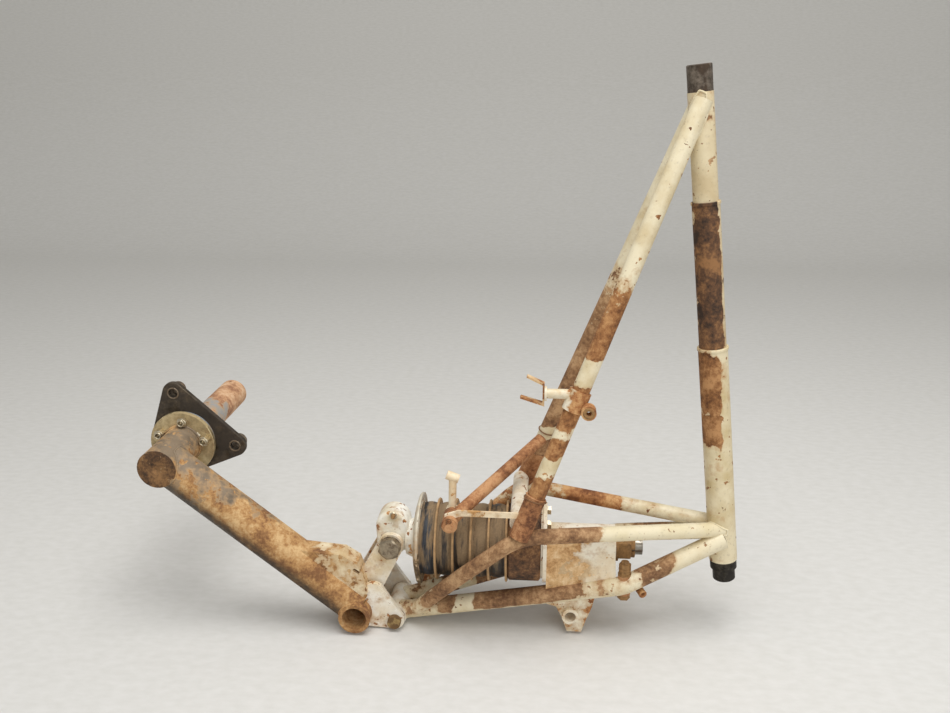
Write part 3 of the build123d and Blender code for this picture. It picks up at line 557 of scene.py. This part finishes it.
# The spacer plates' thin edges carry tan dust, and soft iron wire has gone to orange rust.
finish_plate_rim = metal("stained_plate_steel", "CDAE84", "96764F", "CDA677", 0.8, 0.55, 9)
finish_wire = metal("rusty_wire", "B08A60", "7B5838", "8A6240", 0.8, 0.6, 4)
print("finishes so far, with the metals:", len(bpy.data.materials) - cad_materials)

# %% [markdown]
# ## The axle
# The axle keeps a blue grey patch next to the torque plate, and the rest has turned to an even
# orange rust. Rust covers most of it, so it has the enamel's network and not a metal's, with the
# blue grey as its coat.

# %% The axle's finish
finish_axle = enamel("rust_axle", "8F969C", "A99C8B", ("976B4D", "C4966F", "DBB894"),
    [(50, 0.3), (150, 0.38), (166, 0.55), (180, 0.85), (195, 1.0), (256, 1.05)], (0, 1, 0),
    chips=0.8, gloss=0.45)

# %% [markdown]
# ## Giving the CAD pieces their finish
# A CAD piece keeps its exact mesh, as a new one could only drift from it. Its material slot is
# filled with its finish, and the five rubber discs are left for a piece of their own.

# %% Assign the finishes
finish_of = {
    "pivot_upper": finish_upper, "pivot_middle": finish_middle, "pivot_lower": finish_lower,
    "diagonal_near": finish_diagonal_near, "diagonal_far": finish_diagonal_far,
    "rail_near": finish_rail_near, "rail_far": finish_rail_far,
    "lower_tube_near": finish_lower_tubes, "lower_tube_far": finish_lower_tubes,
    "apex_sleeve": finish_lugs, "hinge_ears": finish_lugs, "lever_lugs": finish_lugs,
    "wedge": finish_wedge, "cross_tube": finish_cross_tube, "arm_tube": finish_arm,
    "axle_stub": finish_arm, "axle": finish_axle, "hub_flange": finish_zinc,
    "torque_plate": finish_torque, "guide_sleeves": finish_sleeves, "cuffs": finish_brown,
    "branch_tube": finish_brown, "lever_sleeve": finish_brown, "seat_drum": finish_drum,
    "cross_member": finish_white, "flange_plate": finish_white, "guide_tube": finish_white,
    "web_plates": finish_web, "hanging_lug_near": finish_hangers,
    "hanging_lug_far": finish_hangers,
    "line_clamp": finish_clamp, "clamp_fork": finish_fork, "strap": finish_fitting,
    "door_lever": finish_fitting, "collar": finish_casting, "end_plate": finish_end_plate,
    "lower_journal": finish_foot_journal, "upper_journal": finish_journal,
    "hinge_bolt": finish_ochre_bolt, "collar_bolt": finish_bolt, "seat_bolts": finish_bolt,
    "flange_bolts": finish_bolt, "shackle_bolt": finish_rusty_bolt,
    "shackle_sleeve": finish_brown, "rod_nut": finish_rusty_bolt, "shock_rod": finish_rod,
    "lever_shaft": finish_brown, "apex_bushes": finish_bronze, "guide_bushes": finish_bronze,
}
for index in range(1, 6):
    finish_of[f"spacer_plate_{index}"] = finish_plate_rim
for name, material in finish_of.items():
    cad_nodes[name].data.materials.clear()
    cad_nodes[name].data.materials.append(material)
bare_nodes = sorted(set(cad_nodes) - set(finish_of))
print("CAD nodes still to be dressed:", bare_nodes)

# %% [markdown]
# ## Making meshes
# Wire, beads and pins are round sections swept along a line, and nuts and discs are turned round
# an axis. Curves and a screw modifier could do both, but two functions keep every point in hand,
# so a bead can ripple and a nut can have its chamfer. Each piece below is a line or a profile.

# %% A piece and its mesh
def piece(name, points, faces, body, material, smooth=True):
    """A new piece with its mesh in the leg's own frame, riding on a body."""
    mesh = bpy.data.meshes.new(name)
    mesh.from_pydata([tuple(p) for p in points], [], faces)
    mesh.validate()
    for face in mesh.polygons:
        face.use_smooth = smooth
    mesh.materials.append(material)
    made = bpy.data.objects.new(name, mesh)
    bpy.context.scene.collection.objects.link(made)
    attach(made, body)
    return made


print("each piece gets a mesh, a finish, a body to ride on and a slot")

# %% Space a line's points evenly
def even_steps(line, step, closed):
    """The same line, with points at an even spacing."""
    line = [Vector(p) for p in line] + ([Vector(line[0])] if closed else [])
    reach = [0.0]
    for a, b in zip(line, line[1:]):
        reach.append(reach[-1] + (b - a).length)
    count = max(2, ceil(reach[-1] / step))
    places, at = [], 0
    for index in range(count if closed else count + 1):
        want = reach[-1] * index / count
        while at < len(reach) - 2 and reach[at + 1] < want:
            at += 1
        span = reach[at + 1] - reach[at] or 1.0
        places.append(line[at].lerp(line[at + 1], (want - reach[at]) / span))
    return places


test_line = even_steps([(0, 0, 0), (0.01, 0, 0)], MM, False)
print("a 10 mm wire in 1 mm steps has", len(test_line), "points")

# %% Sweep a round section
def swept(line, radius, sides=8, closed=False):
    """Points and faces of a round section swept along a line. radius may be a function."""
    count = len(line)
    size = radius if callable(radius) else (lambda index: radius)
    ahead = [
        (line[(i + 1) % count if closed else min(i + 1, count - 1)]
         - line[i - 1 if closed else max(i - 1, 0)]).normalized()
        for i in range(count)
    ]
    sideways = ahead[0].orthogonal().normalized()
    points, faces = [], []
    for i in range(count):
        sideways = (sideways - ahead[i] * sideways.dot(ahead[i])).normalized()
        other = ahead[i].cross(sideways)
        for k in range(sides):
            turn = 2 * pi * k / sides
            points.append(line[i] + (sideways * cos(turn) + other * sin(turn)) * size(i))
    for i in range(count if closed else count - 1):
        for k in range(sides):
            a, b = i * sides + k, i * sides + (k + 1) % sides
            j = (i + 1) % count
            shift = closing_twist(points, i, j, sides) if closed and j == 0 else 0
            c = j * sides + (k + 1 + shift) % sides
            d = j * sides + (k + shift) % sides
            faces.append((a, b, c, d))
    if not closed:
        faces.append(tuple(reversed(range(sides))))
        faces.append(tuple(range((count - 1) * sides, count * sides)))
    return points, faces


def closing_twist(points, last, first, sides):
    """How many corners the last section must turn to meet the first."""
    start = points[last * sides]
    return min(range(sides), key=lambda k: (points[first * sides + k] - start).length)


print("swept into a wire, that line has", len(swept(test_line, MM)[1]), "faces")

# %% Turn a profile
def turned(centre, axis, profile, segments=96, shape=None):
    """Points and faces of a profile of (height, radius) turned about an axis.

    shape may change a radius by its angle, as on a hexagon.
    """
    axis = Vector(axis).normalized()
    first = axis.orthogonal().normalized()
    second = axis.cross(first)
    points = []
    for height, radius in profile:
        for k in range(segments):
            turn = 2 * pi * k / segments
            h, r = shape(turn, height, radius) if shape else (height, radius)
            points.append(centre + axis * h + (first * cos(turn) + second * sin(turn)) * r)
    faces = []
    for i in range(len(profile)):
        j = (i + 1) % len(profile)
        for k in range(segments):
            m = (k + 1) % segments
            faces.append((i * segments + k, j * segments + k, j * segments + m, i * segments + m))
    return points, faces


test_ring = turned(Vector(), (0, 0, 1), [(0, MM), (0, 2 * MM), (MM, 2 * MM), (MM, MM)])
print("a square ring has", len(test_ring[1]), "faces")

# %% [markdown]
# ## Weld beads
# Each tube's end is cut to the shape of the tube that it meets, and welded all round. The line of
# such a joint is where one cylinder's skin meets the other's. A boolean would find it but leave
# ragged edges, so it is solved for, point by point, and gives a clean line to sweep along.
# A hand made bead has ripples about 2 mm apart, which the bead's own radius follows.

# %% Where two tubes meet
BEAD = 1.5 * MM
RIPPLE = 2.2 * MM


def saddle(start, run, radius, main_point, main_direction, main_radius):
    """The closed line where a round branch meets the main tube's skin.

    The branch comes from start and is as long as run, so no point lies beyond its end. Where a
    wide branch passes a slim tube by, the line follows the slim one's skin.
    """
    u, w = run.normalized(), main_direction.normalized()
    first = u.orthogonal().normalized()
    second = u.cross(first)
    line = []
    for k in range(72):
        turn = 2 * pi * k / 72
        ray = start + (first * cos(turn) + second * sin(turn)) * radius - main_point
        q, v = ray - w * ray.dot(w), u - w * u.dot(w)
        a, b, c = v.dot(v), 2 * q.dot(v), q.dot(q) - main_radius ** 2
        root = b * b - 4 * a * c
        reach = min((-b - sqrt(max(0.0, root))) / (2 * a), run.length)
        spot = main_point + ray + u * reach
        if root < 0:
            foot = main_point + w * (spot - main_point).dot(w)
            spot = foot + (spot - foot).normalized() * main_radius
        line.append(spot)
    return line


test_joint = saddle(mm(0, 0, 0), mm(50, 0, 0), rail_r, mm(40, 0, 0), Vector((0, 0, 1)),
                    tube_lower_r)
print("a rail aimed at a tube 40 mm away meets its skin after",
      round(min(p.x for p in test_joint) / MM, 1), "mm")

# %% A bead of weld
def bead(name, line, body, material, size=BEAD, seed=0):
    """A rippled weld bead along a closed line."""
    steps = even_steps(line, RIPPLE / 5, True)

    def rippled(index):
        wave = 0.5 + 0.5 * cos(2 * pi * index / 5)
        drift = noise.noise(steps[index] * 180 + Vector((seed, 0, 0)))
        return size * (0.82 + 0.16 * wave + 0.18 * drift)

    points, faces = swept(steps, rippled, closed=True)
    return piece(name, points, faces, body, material)


print("bead, mm wide:", round(2 * BEAD / MM, 1), "ripples, mm apart:", round(RIPPLE / MM, 1))

# %% Weld the truss
beads_made = []
for word, place, rail_finish, diagonal_finish, low_run in (
    ("near", lambda p: p, finish_rail_near, finish_diagonal_near,
     (lower_bend, lower_bend, lower_end)),
    ("far", far, finish_rail_far, finish_diagonal_far,
     (high_run_start, high_run_bend, lower_end)),
):
    b, top = place(node_b), place(diagonal_top)
    rail_run = place(rail_end) - b
    foot_bend, last_bend, low_end = (place(p) for p in low_run)
    joints = {
        "rail_tube": (b, rail_run, rail_r, Vector((0, 0, 0)), tube_up, tube_lower_r, rail_finish),
        "lower_tube": (last_bend, low_end - last_bend, lower_tube_r, Vector((0, 0, 0)), tube_up,
                       tube_lower_r, finish_lower_tubes),
        "diagonal_tube": (b, top - b, diagonal_r, Vector((0, 0, 0)), tube_up, tube_upper_r,
                          diagonal_finish),
        "rail_foot": (place(rail_waist), place(rail_foot) - place(rail_waist), rail_r,
                      place(lower_foot), foot_bend - place(lower_foot), lower_tube_r,
                      finish_lower_tubes),
        "lower_apex": (foot_bend, place(lower_foot) - foot_bend, lower_tube_r,
                       mm(-461, 0, -66), Vector((0, 1, 0)), 15 * MM, finish_lower_tubes),
    }
    for label, (start, run, *joint, material) in joints.items():
        line = saddle(start, run * 1.01, *joint)
        name = f"bead_{label}_{word}"
        beads_made.append(bead(name, line, "leg", material, seed=len(beads_made)))
    cuff_top = b + (top - b).normalized() * 60 * MM
    ring = turned(cuff_top, top - b, [(0, 12.9 * MM)], 72)[0]
    name = f"bead_cuff_{word}"
    beads_made.append(bead(name, ring, "leg", finish_brown, 1.3 * MM, seed=40))
print("beads on the truss:", len(beads_made))

# %% [markdown]
# ## The arm's welds
# The arm tube is welded across the cross tube at its foot and across a stub at its head, and the
# stub is welded to the axle's flange. These welds carry the wheel's load and are heavier than the
# truss's, so they have a bigger bead along the same kind of line.

# %% Weld the arm
ARM_BEAD = 2 * MM
arm_run = arm_foot - arm_head
foot_line = saddle(arm_head, arm_run * 1.2, arm_r, cross_tube_axis, Vector((0, 1, 0)), cross_tube_r)
stub_line = saddle(arm_foot, arm_head - arm_foot - arm_along * 3 * MM, arm_r,
                   arm_head, Vector((0, 1, 0)), stub_r)
stub_start = Vector((arm_head.x, 30 * MM, arm_head.z))
stub_ring = turned(stub_start, (0, 1, 0), [(-0.6 * MM, stub_r + 0.6 * MM)], 96)[0]
arm_beads = [
    bead("bead_arm_foot", foot_line, "trailing_arm", finish_cross_tube, ARM_BEAD),
    bead("bead_stub_arm", stub_line, "trailing_arm", finish_arm, ARM_BEAD),
    bead("bead_stub_flange", stub_ring, "trailing_arm", finish_arm, 2.2 * MM),
]
print("beads on the arm:", len(arm_beads))

# %% [markdown]
# ## Rubber discs
# Each disc is a moulded rubber ring, bonded to a steel plate on both sides. Under the aircraft's
# weight it bulges, so its skin is a shallow barrel with a tight lip at each plate. Cloth simulation
# could swell it, but a moulded ring is round, so a turned profile gives it exactly. The arm's
# travel squashes all five; each disc here rides on its spacer plate, and the last one on the leg.
# Old rubber is matt and nearly black. Brown dust lies on it in streaks, thicker towards the top.

# %% The dusty rubber finish
# Each pattern's width in mm, its detail, and how it is stretched along X, Y and Z.
RUBBER_PATTERNS = {
    "grit": (2.5, 5, (1, 1, 1)), "streak": (24, 6, (2.8, 0.6, 0.35)),
    "tone": (9, 4, (1.5, 1, 0.5)),
}


def rubber(name, skin, dust, dusty):
    """Aged rubber: matt, nearly black, under a film of brown dust that lies thicker on top."""
    material, tree, surface = new_tree(name)
    place = node(tree, "TexCoord").outputs["Object"]
    cloud = {}
    for word, (width, detail, stretch) in RUBBER_PATTERNS.items():
        stretched = node(tree, "Mapping", {"Vector": place, "Scale": stretch})
        cloud[word] = node(tree, "TexNoise", {
            "Vector": stretched, "Scale": 1 / (width * MM), "Detail": detail, "Roughness": 0.62,
        })
    rise = node(tree, "VectorMath", {0: place, 1: (0, -0.25, 1)}, operation="DOT_PRODUCT")
    dust_by_height = node(tree, "MapRange", {
        "Value": rise.outputs["Value"], "From Min": -10 * MM, "From Max": 85 * MM,
        "To Min": -0.17, "To Max": 0.13,
    })
    streaks = node(tree, "Math", {0: cloud["streak"], 1: dust_by_height}, operation="ADD")
    cover = node(tree, "MapRange", {
        "Value": streaks, "From Min": 0.56 - dusty, "From Max": 0.68 - dusty,
    })
    deep = node(tree, "MapRange", {"Value": cloud["tone"], "From Min": 0.4, "From Max": 0.6})
    dark = node(tree, "Mix", {
        0: deep, 6: hex_colour(skin[0]), 7: hex_colour(skin[1]),
    }, data_type="RGBA").outputs[2]
    pale = node(tree, "Mix", {
        0: cloud["grit"], 6: hex_colour(dust[0]), 7: hex_colour(dust[1]),
    }, data_type="RGBA").outputs[2]
    colour = node(tree, "Mix", {0: cover, 6: dark, 7: pale}, data_type="RGBA").outputs[2]
    rough = node(tree, "MapRange", {"Value": cover, "To Min": 0.5, "To Max": 0.92})
    bump = node(tree, "Bump", {"Height": cloud["grit"], "Strength": 0.3, "Distance": 0.3 * MM})
    body = node(tree, "BsdfPrincipled", {"Base Color": colour, "Roughness": rough, "Normal": bump})
    tree.links.new(body.outputs[0], surface)
    return material


print("rubber patterns, mm wide:", {word: rule[0] for word, rule in RUBBER_PATTERNS.items()})

# %% Mould the five discs
for index in range(1, 6):
    low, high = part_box(f"rubber_disc_{index}")
    centre = Vector((low.x, 0, (low.z + high.z) / 2))
    length, outside = high.x - low.x, (high.z - low.z) / 2
    inside, bulge, lip = 15.2 * MM, 2.2 * MM, 0.9 * MM
    skin_line = [(0, inside), (0, outside - bulge + lip), (0.7 * MM, outside - bulge + lip),
                 (1.6 * MM, outside - bulge)]
    for step in range(1, 12):
        part = step / 12
        skin_line.append((1.6 * MM + (length - 3.2 * MM) * part,
                          outside - bulge + bulge * sin(pi * part) ** 0.8))
    skin_line += [(length - 1.6 * MM, outside - bulge), (length - 0.7 * MM, outside - bulge + lip),
                  (length, outside - bulge + lip), (length, inside)]

    def settled(turn, height, radius, seed=index):
        """The skin is never quite round: it wanders by a few tenths of a millimetre."""
        if radius < outside - 10 * MM or height in (0, length):
            return height, radius
        drift = noise.noise(Vector((cos(turn) * 2, sin(turn) * 2, height * 90 + 7 * seed)))
        return height, radius + 0.35 * MM * drift - 0.35 * MM

    points, faces = turned(centre, (1, 0, 0), skin_line, 128, settled)
    dusty = (0.02, 0.07, 0.08, 0.12, 0.08)[index - 1]
    skin = ("17191C", "30343B") if index == 1 else ("1C1814", "3B2F23")
    material = rubber(f"aged_rubber_{index}", skin, ("6E5A43", "9C8464"), dusty)
    body = f"spacer_{index}" if index < 5 else "leg"
    disc = piece(f"shock_disc_{index}", points, faces, body, material)
    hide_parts(f"rubber_disc_{index}")
    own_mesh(disc)

# %% [markdown]
# ## Nuts, bolt heads and threads
# A real nut's corners are turned off by a 30 degree chamfer, which leaves the curved line on each
# flat that the eye reads as a nut. A six sided cylinder has no such line, so the profile is turned
# in many steps: the hexagon's radius changes with the angle, and the chamfer takes height off in
# step with it.

# %% A hexagon with its chamfer
BIG_FLATS, SMALL_FLATS = 28.6, 12.7


def hexagon(flats):
    """A shape for turned() that makes a hexagon with its corners chamfered."""
    half = flats / 2

    def shape(turn, height, radius):
        if radius < half * 0.999:
            return height, radius
        angle = (turn + pi / 6) % (pi / 3) - pi / 6
        corner = half / cos(angle)
        drop = (corner - half) * tan(radians(30)) if height > 0 else 0
        return height - drop if radius > half else height, corner

    return shape


def hex_piece(name, centre, axis, flats, height, bore, body, material, recess=0.0):
    """A nut, or a bolt head where bore is small. recess sinks the bore's floor from the top."""
    half = flats * MM / 2
    height, bore = height * MM, max(bore, 0.4) * MM
    bevel = half * 0.07
    profile = [(0, bore), (0, half * 0.97), (0, half * 1.0001), (height - bevel, half * 1.0001),
               (height, half * 0.89), (height, bore)]
    if recess:
        profile.append((height - recess * MM, bore))
        profile.append((height - recess * MM, 0.2 * MM))
        profile[0] = (0, 0.2 * MM)
    points, faces = turned(Vector(centre), axis, profile, 72, hexagon(2 * half))
    return piece(name, points, faces, body, material, smooth=False)


print("the big bolt measures", round(BIG_FLATS / cos(pi / 6), 1), "mm across its corners")

# %% [markdown]
# ## A thread
# The big bolt's end stands out of its nut and shows its thread, a ridge that climbs one pitch each
# turn. A stack of rings would do from afar, but here the radius follows the real helix.

# %% A threaded end
def thread(name, start, axis, radius, length, pitch, body, material):
    """A threaded rod's end."""
    radius, length, pitch = radius * MM, length * MM, pitch * MM
    rows, sides = max(6, round(length / pitch * 6)), 24
    axis = Vector(axis).normalized()
    first = axis.orthogonal().normalized()
    second = axis.cross(first)
    points = []
    for row in range(rows + 1):
        height = length * row / rows
        for k in range(sides):
            turn = 2 * pi * k / sides
            phase = (height / pitch - k / sides) % 1.0
            taper = min(1.0, (length - height) / pitch + 0.4)
            size = radius - 0.55 * pitch * (1 - abs(2 * phase - 1)) * taper
            if row == rows:
                size = radius - 0.8 * pitch
            points.append(start + axis * height
                          + (first * cos(turn) + second * sin(turn)) * size)
    faces = []
    for row in range(rows):
        for k in range(sides):
            m = (k + 1) % sides
            faces.append((row * sides + k, row * sides + m, (row + 1) * sides + m,
                          (row + 1) * sides + k))
    faces.append(tuple(range(rows * sides, (rows + 1) * sides)))
    faces.append(tuple(reversed(range(sides))))
    return piece(name, points, faces, body, material)


THREAD_PITCH = 1.6
print("thread pitch, mm:", THREAD_PITCH)

# %% [markdown]
# ## The big bolt
# The bolt that joins the arm to the shock pack has the largest head on the leg, with a dark washer
# under it. The CAD has it in one plain form, and five pieces take its place, all on the arm.

# %% Fit the big bolt
low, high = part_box("collar_bolt")
bolt_centre = Vector(((low.x + high.x) / 2, 0, (low.z + high.z) / 2))
lug_face = 29.5 * MM
near_face = bolt_centre - Vector((0, lug_face, 0))
washer_points, washer_faces = turned(near_face, (0, -1, 0), [
    (0, 9.5 * MM), (0, 14.6 * MM), (0.4 * MM, 14.9 * MM), (1.7 * MM, 14.9 * MM),
    (2 * MM, 14.6 * MM), (2 * MM, 9.5 * MM),
])
washer = piece("collar_bolt_washer", washer_points, washer_faces, "trailing_arm", finish_washer,
               smooth=False)
head = hex_piece("collar_bolt_head", near_face - Vector((0, 2 * MM, 0)), (0, -1, 0), BIG_FLATS, 10,
                 0.4, "trailing_arm", finish_big_head)
shank_points, shank_faces = turned(near_face, (0, 1, 0), [
    (0, 0.3 * MM), (0, 9.5 * MM), (2 * lug_face, 9.5 * MM), (2 * lug_face, 0.3 * MM),
], 48)
shank = piece("collar_bolt_shank", shank_points, shank_faces, "trailing_arm", finish_bolt)
far_face = bolt_centre + Vector((0, lug_face, 0))
nut = hex_piece("collar_bolt_nut", far_face, (0, 1, 0), BIG_FLATS, 14, 9.3, "trailing_arm",
                finish_bolt)
tail = thread("collar_bolt_thread", far_face + Vector((0, 10 * MM, 0)), (0, 1, 0), 9.4, 8,
              THREAD_PITCH, "trailing_arm", finish_bolt)
for made in (washer, head, shank, nut, tail):
    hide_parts("collar_bolt")
print("bolt head across flats, mm:", BIG_FLATS)

# %% [markdown]
# ## The flange bolts
# Five bolts hold the torque plate to the axle's flange. Each has a self locking nut: above the
# hexagon stands a round collar, with the bolt's end sunk in it. They are alike, so a loop makes
# them, and the arm hides two of the five from the front.

# %% Fit the flange bolts
low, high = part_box("hub_flange")
flange_centre = Vector(((low.x + high.x) / 2, 0, (low.z + high.z) / 2))
flange_face, plate_back = low.y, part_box("torque_plate")[1].y
bolt_circle, bolt_start = 34.5 * MM, radians(83)
for index in range(5):
    turn = bolt_start + index * 2 * pi / 5
    spot = flange_centre + Vector((cos(turn), 0, sin(turn))) * bolt_circle
    near = Vector((spot.x, flange_face, spot.z))
    pieces = [
        hex_piece(f"flange_nut_{index + 1}", near, (0, -1, 0), SMALL_FLATS, 8, 3.9, "trailing_arm",
                  finish_bolt, recess=4.5),
        hex_piece(f"flange_bolt_head_{index + 1}", Vector((spot.x, plate_back, spot.z)),
                  (0, 1, 0), SMALL_FLATS, 5.5, 0.4, "trailing_arm", finish_bolt),
    ]
    collar_points, collar_faces = turned(near - Vector((0, 7.6 * MM, 0)), (0, -1, 0), [
        (0, 3.4 * MM), (0, 5.6 * MM), (3 * MM, 5.2 * MM), (3.6 * MM, 4.6 * MM),
        (3.6 * MM, 3.4 * MM),
    ], 48)
    pieces.append(piece(f"flange_nut_collar_{index + 1}", collar_points, collar_faces,
                        "trailing_arm", finish_bolt))
    for made in pieces:
        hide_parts("flange_bolts")
print("flange bolts on a circle of", bolt_circle / MM, "mm radius")

# %% [markdown]
# ## The torque plate's rims
# Two of the plate's holes have a raised, shiny rim, where a sleeve ends in a thin lip. It could be
# a bevel on the plate, but the plate is the CAD's own mesh, so each rim is a turned ring on it.

# %% Rim the torque plate's holes
plate_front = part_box("torque_plate")[0].y
HOLE_CIRCLE, HOLE_ANGLES = 72 * MM, (101, -6.5)
for index, angle in enumerate(HOLE_ANGLES):
    turn = radians(angle)
    spot = Vector((flange_centre.x + HOLE_CIRCLE * cos(turn), plate_front,
                   flange_centre.z + HOLE_CIRCLE * sin(turn)))
    rim_points, rim_faces = turned(spot, (0, -1, 0), [
        (-0.2 * MM, 6.5 * MM), (-0.2 * MM, 9.0 * MM), (0.5 * MM, 8.7 * MM), (0.9 * MM, 7.9 * MM),
        (0.9 * MM, 6.9 * MM),
    ], 64)
    piece(f"torque_plate_rim_{index + 1}", rim_points, rim_faces, "trailing_arm", finish_sleeves)
print("rims on a circle of", round(HOLE_CIRCLE / MM), "mm radius")

# %% [markdown]
# ## The lock tab
# A flat steel tab is bent over beside a nut to keep it from turning. It is a strip of even width,
# so it is drawn as the line that it is bent along.

# %% Bend the lock tab
def strip(name, line, broad, width, thick, body, material):
    """A flat strip along a line, broad in one direction."""
    broad = Vector(broad).normalized() * width * MM / 2
    points, faces = [], []
    for index, spot in enumerate(line):
        ahead = (line[min(index + 1, len(line) - 1)] - line[max(index - 1, 0)]).normalized()
        up = ahead.cross(broad).normalized() * thick * MM / 2
        points += [spot + broad + up, spot - broad + up, spot - broad - up, spot + broad - up]
    for index in range(len(line) - 1):
        for k in range(4):
            m = (k + 1) % 4
            faces.append((4 * index + k, 4 * index + m, 4 * index + 4 + m, 4 * index + 4 + k))
    last = 4 * (len(line) - 1)
    faces += [(3, 2, 1, 0), (last, last + 1, last + 2, last + 3)]
    return piece(name, points, faces, body, material, smooth=False)


tab_line = [mm(-751, 29.2, 179), mm(-757, 29.2, 174), mm(-762, 28.6, 168), mm(-765, 25.5, 165),
            mm(-767, 21, 163)]
strip("lock_tab", tab_line, (0.64, 0, -0.77), 6.5, 0.9, "trailing_arm", finish_clamp)
print("lock tab bent in", len(tab_line) - 1, "steps")

# %% [markdown]
# ## The stub's cap
# The stub that crosses the arm's head is closed by a round plate, sunk a little at its middle and
# welded round its rim. The CAD closes it flat, and this turned plate gives that end its shape.

# %% Close the stub with its cap plate
cap_centre = Vector((arm_head.x, arm_head.y - arm_r - 1 * MM, arm_head.z))
cap_points, cap_faces = turned(cap_centre, (0, -1, 0), [
    (0, 0.2 * MM), (0, stub_r - 0.8 * MM), (0.5 * MM, stub_r - 1.4 * MM),
    (0.8 * MM, stub_r - 2.6 * MM), (0.4 * MM, stub_r - 9 * MM), (0.4 * MM, 0.2 * MM),
])
piece("stub_cap_plate", cap_points, cap_faces, "trailing_arm", finish_cap)
cap_ring = turned(cap_centre, (0, -1, 0), [(-0.4 * MM, stub_r - 0.6 * MM)], 96)[0]
bead("bead_stub_cap", cap_ring, "trailing_arm", finish_cap, 1.1 * MM, seed=60)
print("cap plate, mm:", round(2 * stub_r / MM))

# %% [markdown]
# ## Grease nipple and split pin
# The collar has a grease nipple screwed into it: a small hexagon with a ball tip that a grease gun
# clips over. A split pin, one bent wire with an eye, keeps the door lever on its shaft. Both are
# bought parts of a standard form, so each is drawn from its own few measures.

# %% Fit the grease nipple
nipple_base = mm(-463, -19.3, 85)
nipple_axis = Vector((0.1, -1, 0.25))
hex_piece("nipple_hexagon", nipple_base, nipple_axis, 9.5, 4, 0.4, "shock_collar", finish_bolt)
tip = nipple_base + nipple_axis.normalized() * 3.6 * MM
tip_points, tip_faces = turned(tip, nipple_axis, [
    (0, 0.2 * MM), (0, 3.6 * MM), (4 * MM, 3.2 * MM), (5.5 * MM, 2.2 * MM), (6.5 * MM, 3 * MM),
    (8.5 * MM, 2 * MM), (8.5 * MM, 0.2 * MM),
], 48)
piece("nipple_tip", tip_points, tip_faces, "shock_collar", finish_rusty_bolt)
print("nipple tip starts", round((tip - nipple_base).length / MM, 1), "mm from the collar")

# %% Fit the split pin
def split_pin(name, centre, axis, loop_side, body, material, size, reach):
    """A split pin: an eye, a straight shank and two bent legs."""
    axis, up = Vector(axis).normalized(), Vector(loop_side).normalized()
    wire, eye = size * MM, 2.6 * size * MM
    line = []
    for step in range(0, 19):
        turn = radians(-60 + 300 * step / 18)
        line.append(centre + up * (eye * 1.4 + eye * cos(turn + pi)) + axis * eye * sin(turn))
    leg = -up * reach * MM
    head = [line[0] + leg * 0.2, line[0]]
    tail = [line[-1], line[-1] + leg, line[-1] + leg * 1.25 + axis * 2.5 * MM]
    points, faces = swept(even_steps(head + line + tail, 0.6 * MM, False), wire * 0.5)
    return piece(name, points, faces, body, material)


lever_low, lever_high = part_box("lever_shaft")
pin_place = Vector((-377 * MM, lever_low.y + 1.6 * MM, lever_high.z - 4.5 * MM))
pin = split_pin("lever_split_pin", pin_place, (1, 0, 0), (0, 0, 1), "door_lever", finish_wire,
                1.3, 9)
print("split pin has", len(pin.data.vertices), "points")

# %% [markdown]
# ## Wire rings, the clamp's washer and the line saddle
# A turn of soft wire is left on each diagonal. Such a ring is bent by hand, so it isn't quite
# square to the tube. A torus would look too perfect, so the line leans over as it goes round.
# The line clamp's eye has a washer on it, and a short saddle stands on the near lower tube.

# %% Bend the wire rings
WIRE_R = 0.9 * MM


def wire_ring(name, centre, direction, radius, tilt, material):
    """A hand bent wire ring round a tube, a little off square."""
    direction = direction.normalized()
    first = direction.orthogonal().normalized()
    second = direction.cross(first)
    line = []
    for step in range(72):
        turn = 2 * pi * step / 72
        out = first * cos(turn) + second * sin(turn)
        line.append(centre + out * radius + direction * radius * tilt * cos(turn + 0.7))
    points, faces = swept(line, WIRE_R, closed=True)
    return piece(name, points, faces, "leg", material)


wire_ring("wire_ring_near", node_b + along_diagonal * 57 * MM, along_diagonal, 14.6 * MM, 0.1,
          finish_wire)
far_along = far(diagonal_top) - far(node_b)
wire_ring("wire_ring_far", far(node_b) + far_along.normalized() * 98 * MM, far_along, 12.6 * MM,
          0.06, finish_wire)
print("two rings of wire", round(2 * WIRE_R / MM, 1), "mm thick")

# %% Fit the clamp's washer and the line saddle
eye_centre = node_b + along_diagonal * 198 * MM + mm(15, -22, -9)
eye_points, eye_faces = turned(eye_centre, (0, -1, 0), [
    (-2 * MM, 3.4 * MM), (-2 * MM, 7.4 * MM), (0.4 * MM, 7.4 * MM), (1.2 * MM, 6.6 * MM),
    (1.2 * MM, 3.4 * MM),
], 64)
saddle_points, saddle_faces = turned(mm(-118, -36, -9), (0.35, -1, -0.1), [
    (-7 * MM, 3.0 * MM), (-7 * MM, 5.4 * MM), (5 * MM, 5.4 * MM), (6 * MM, 5.7 * MM),
    (7 * MM, 5.2 * MM), (7 * MM, 3.0 * MM),
], 64)
piece("line_saddle", saddle_points, saddle_faces, "leg", finish_clamp)
piece("clamp_eye_washer", eye_points, eye_faces, "leg", finish_rusty_bolt)
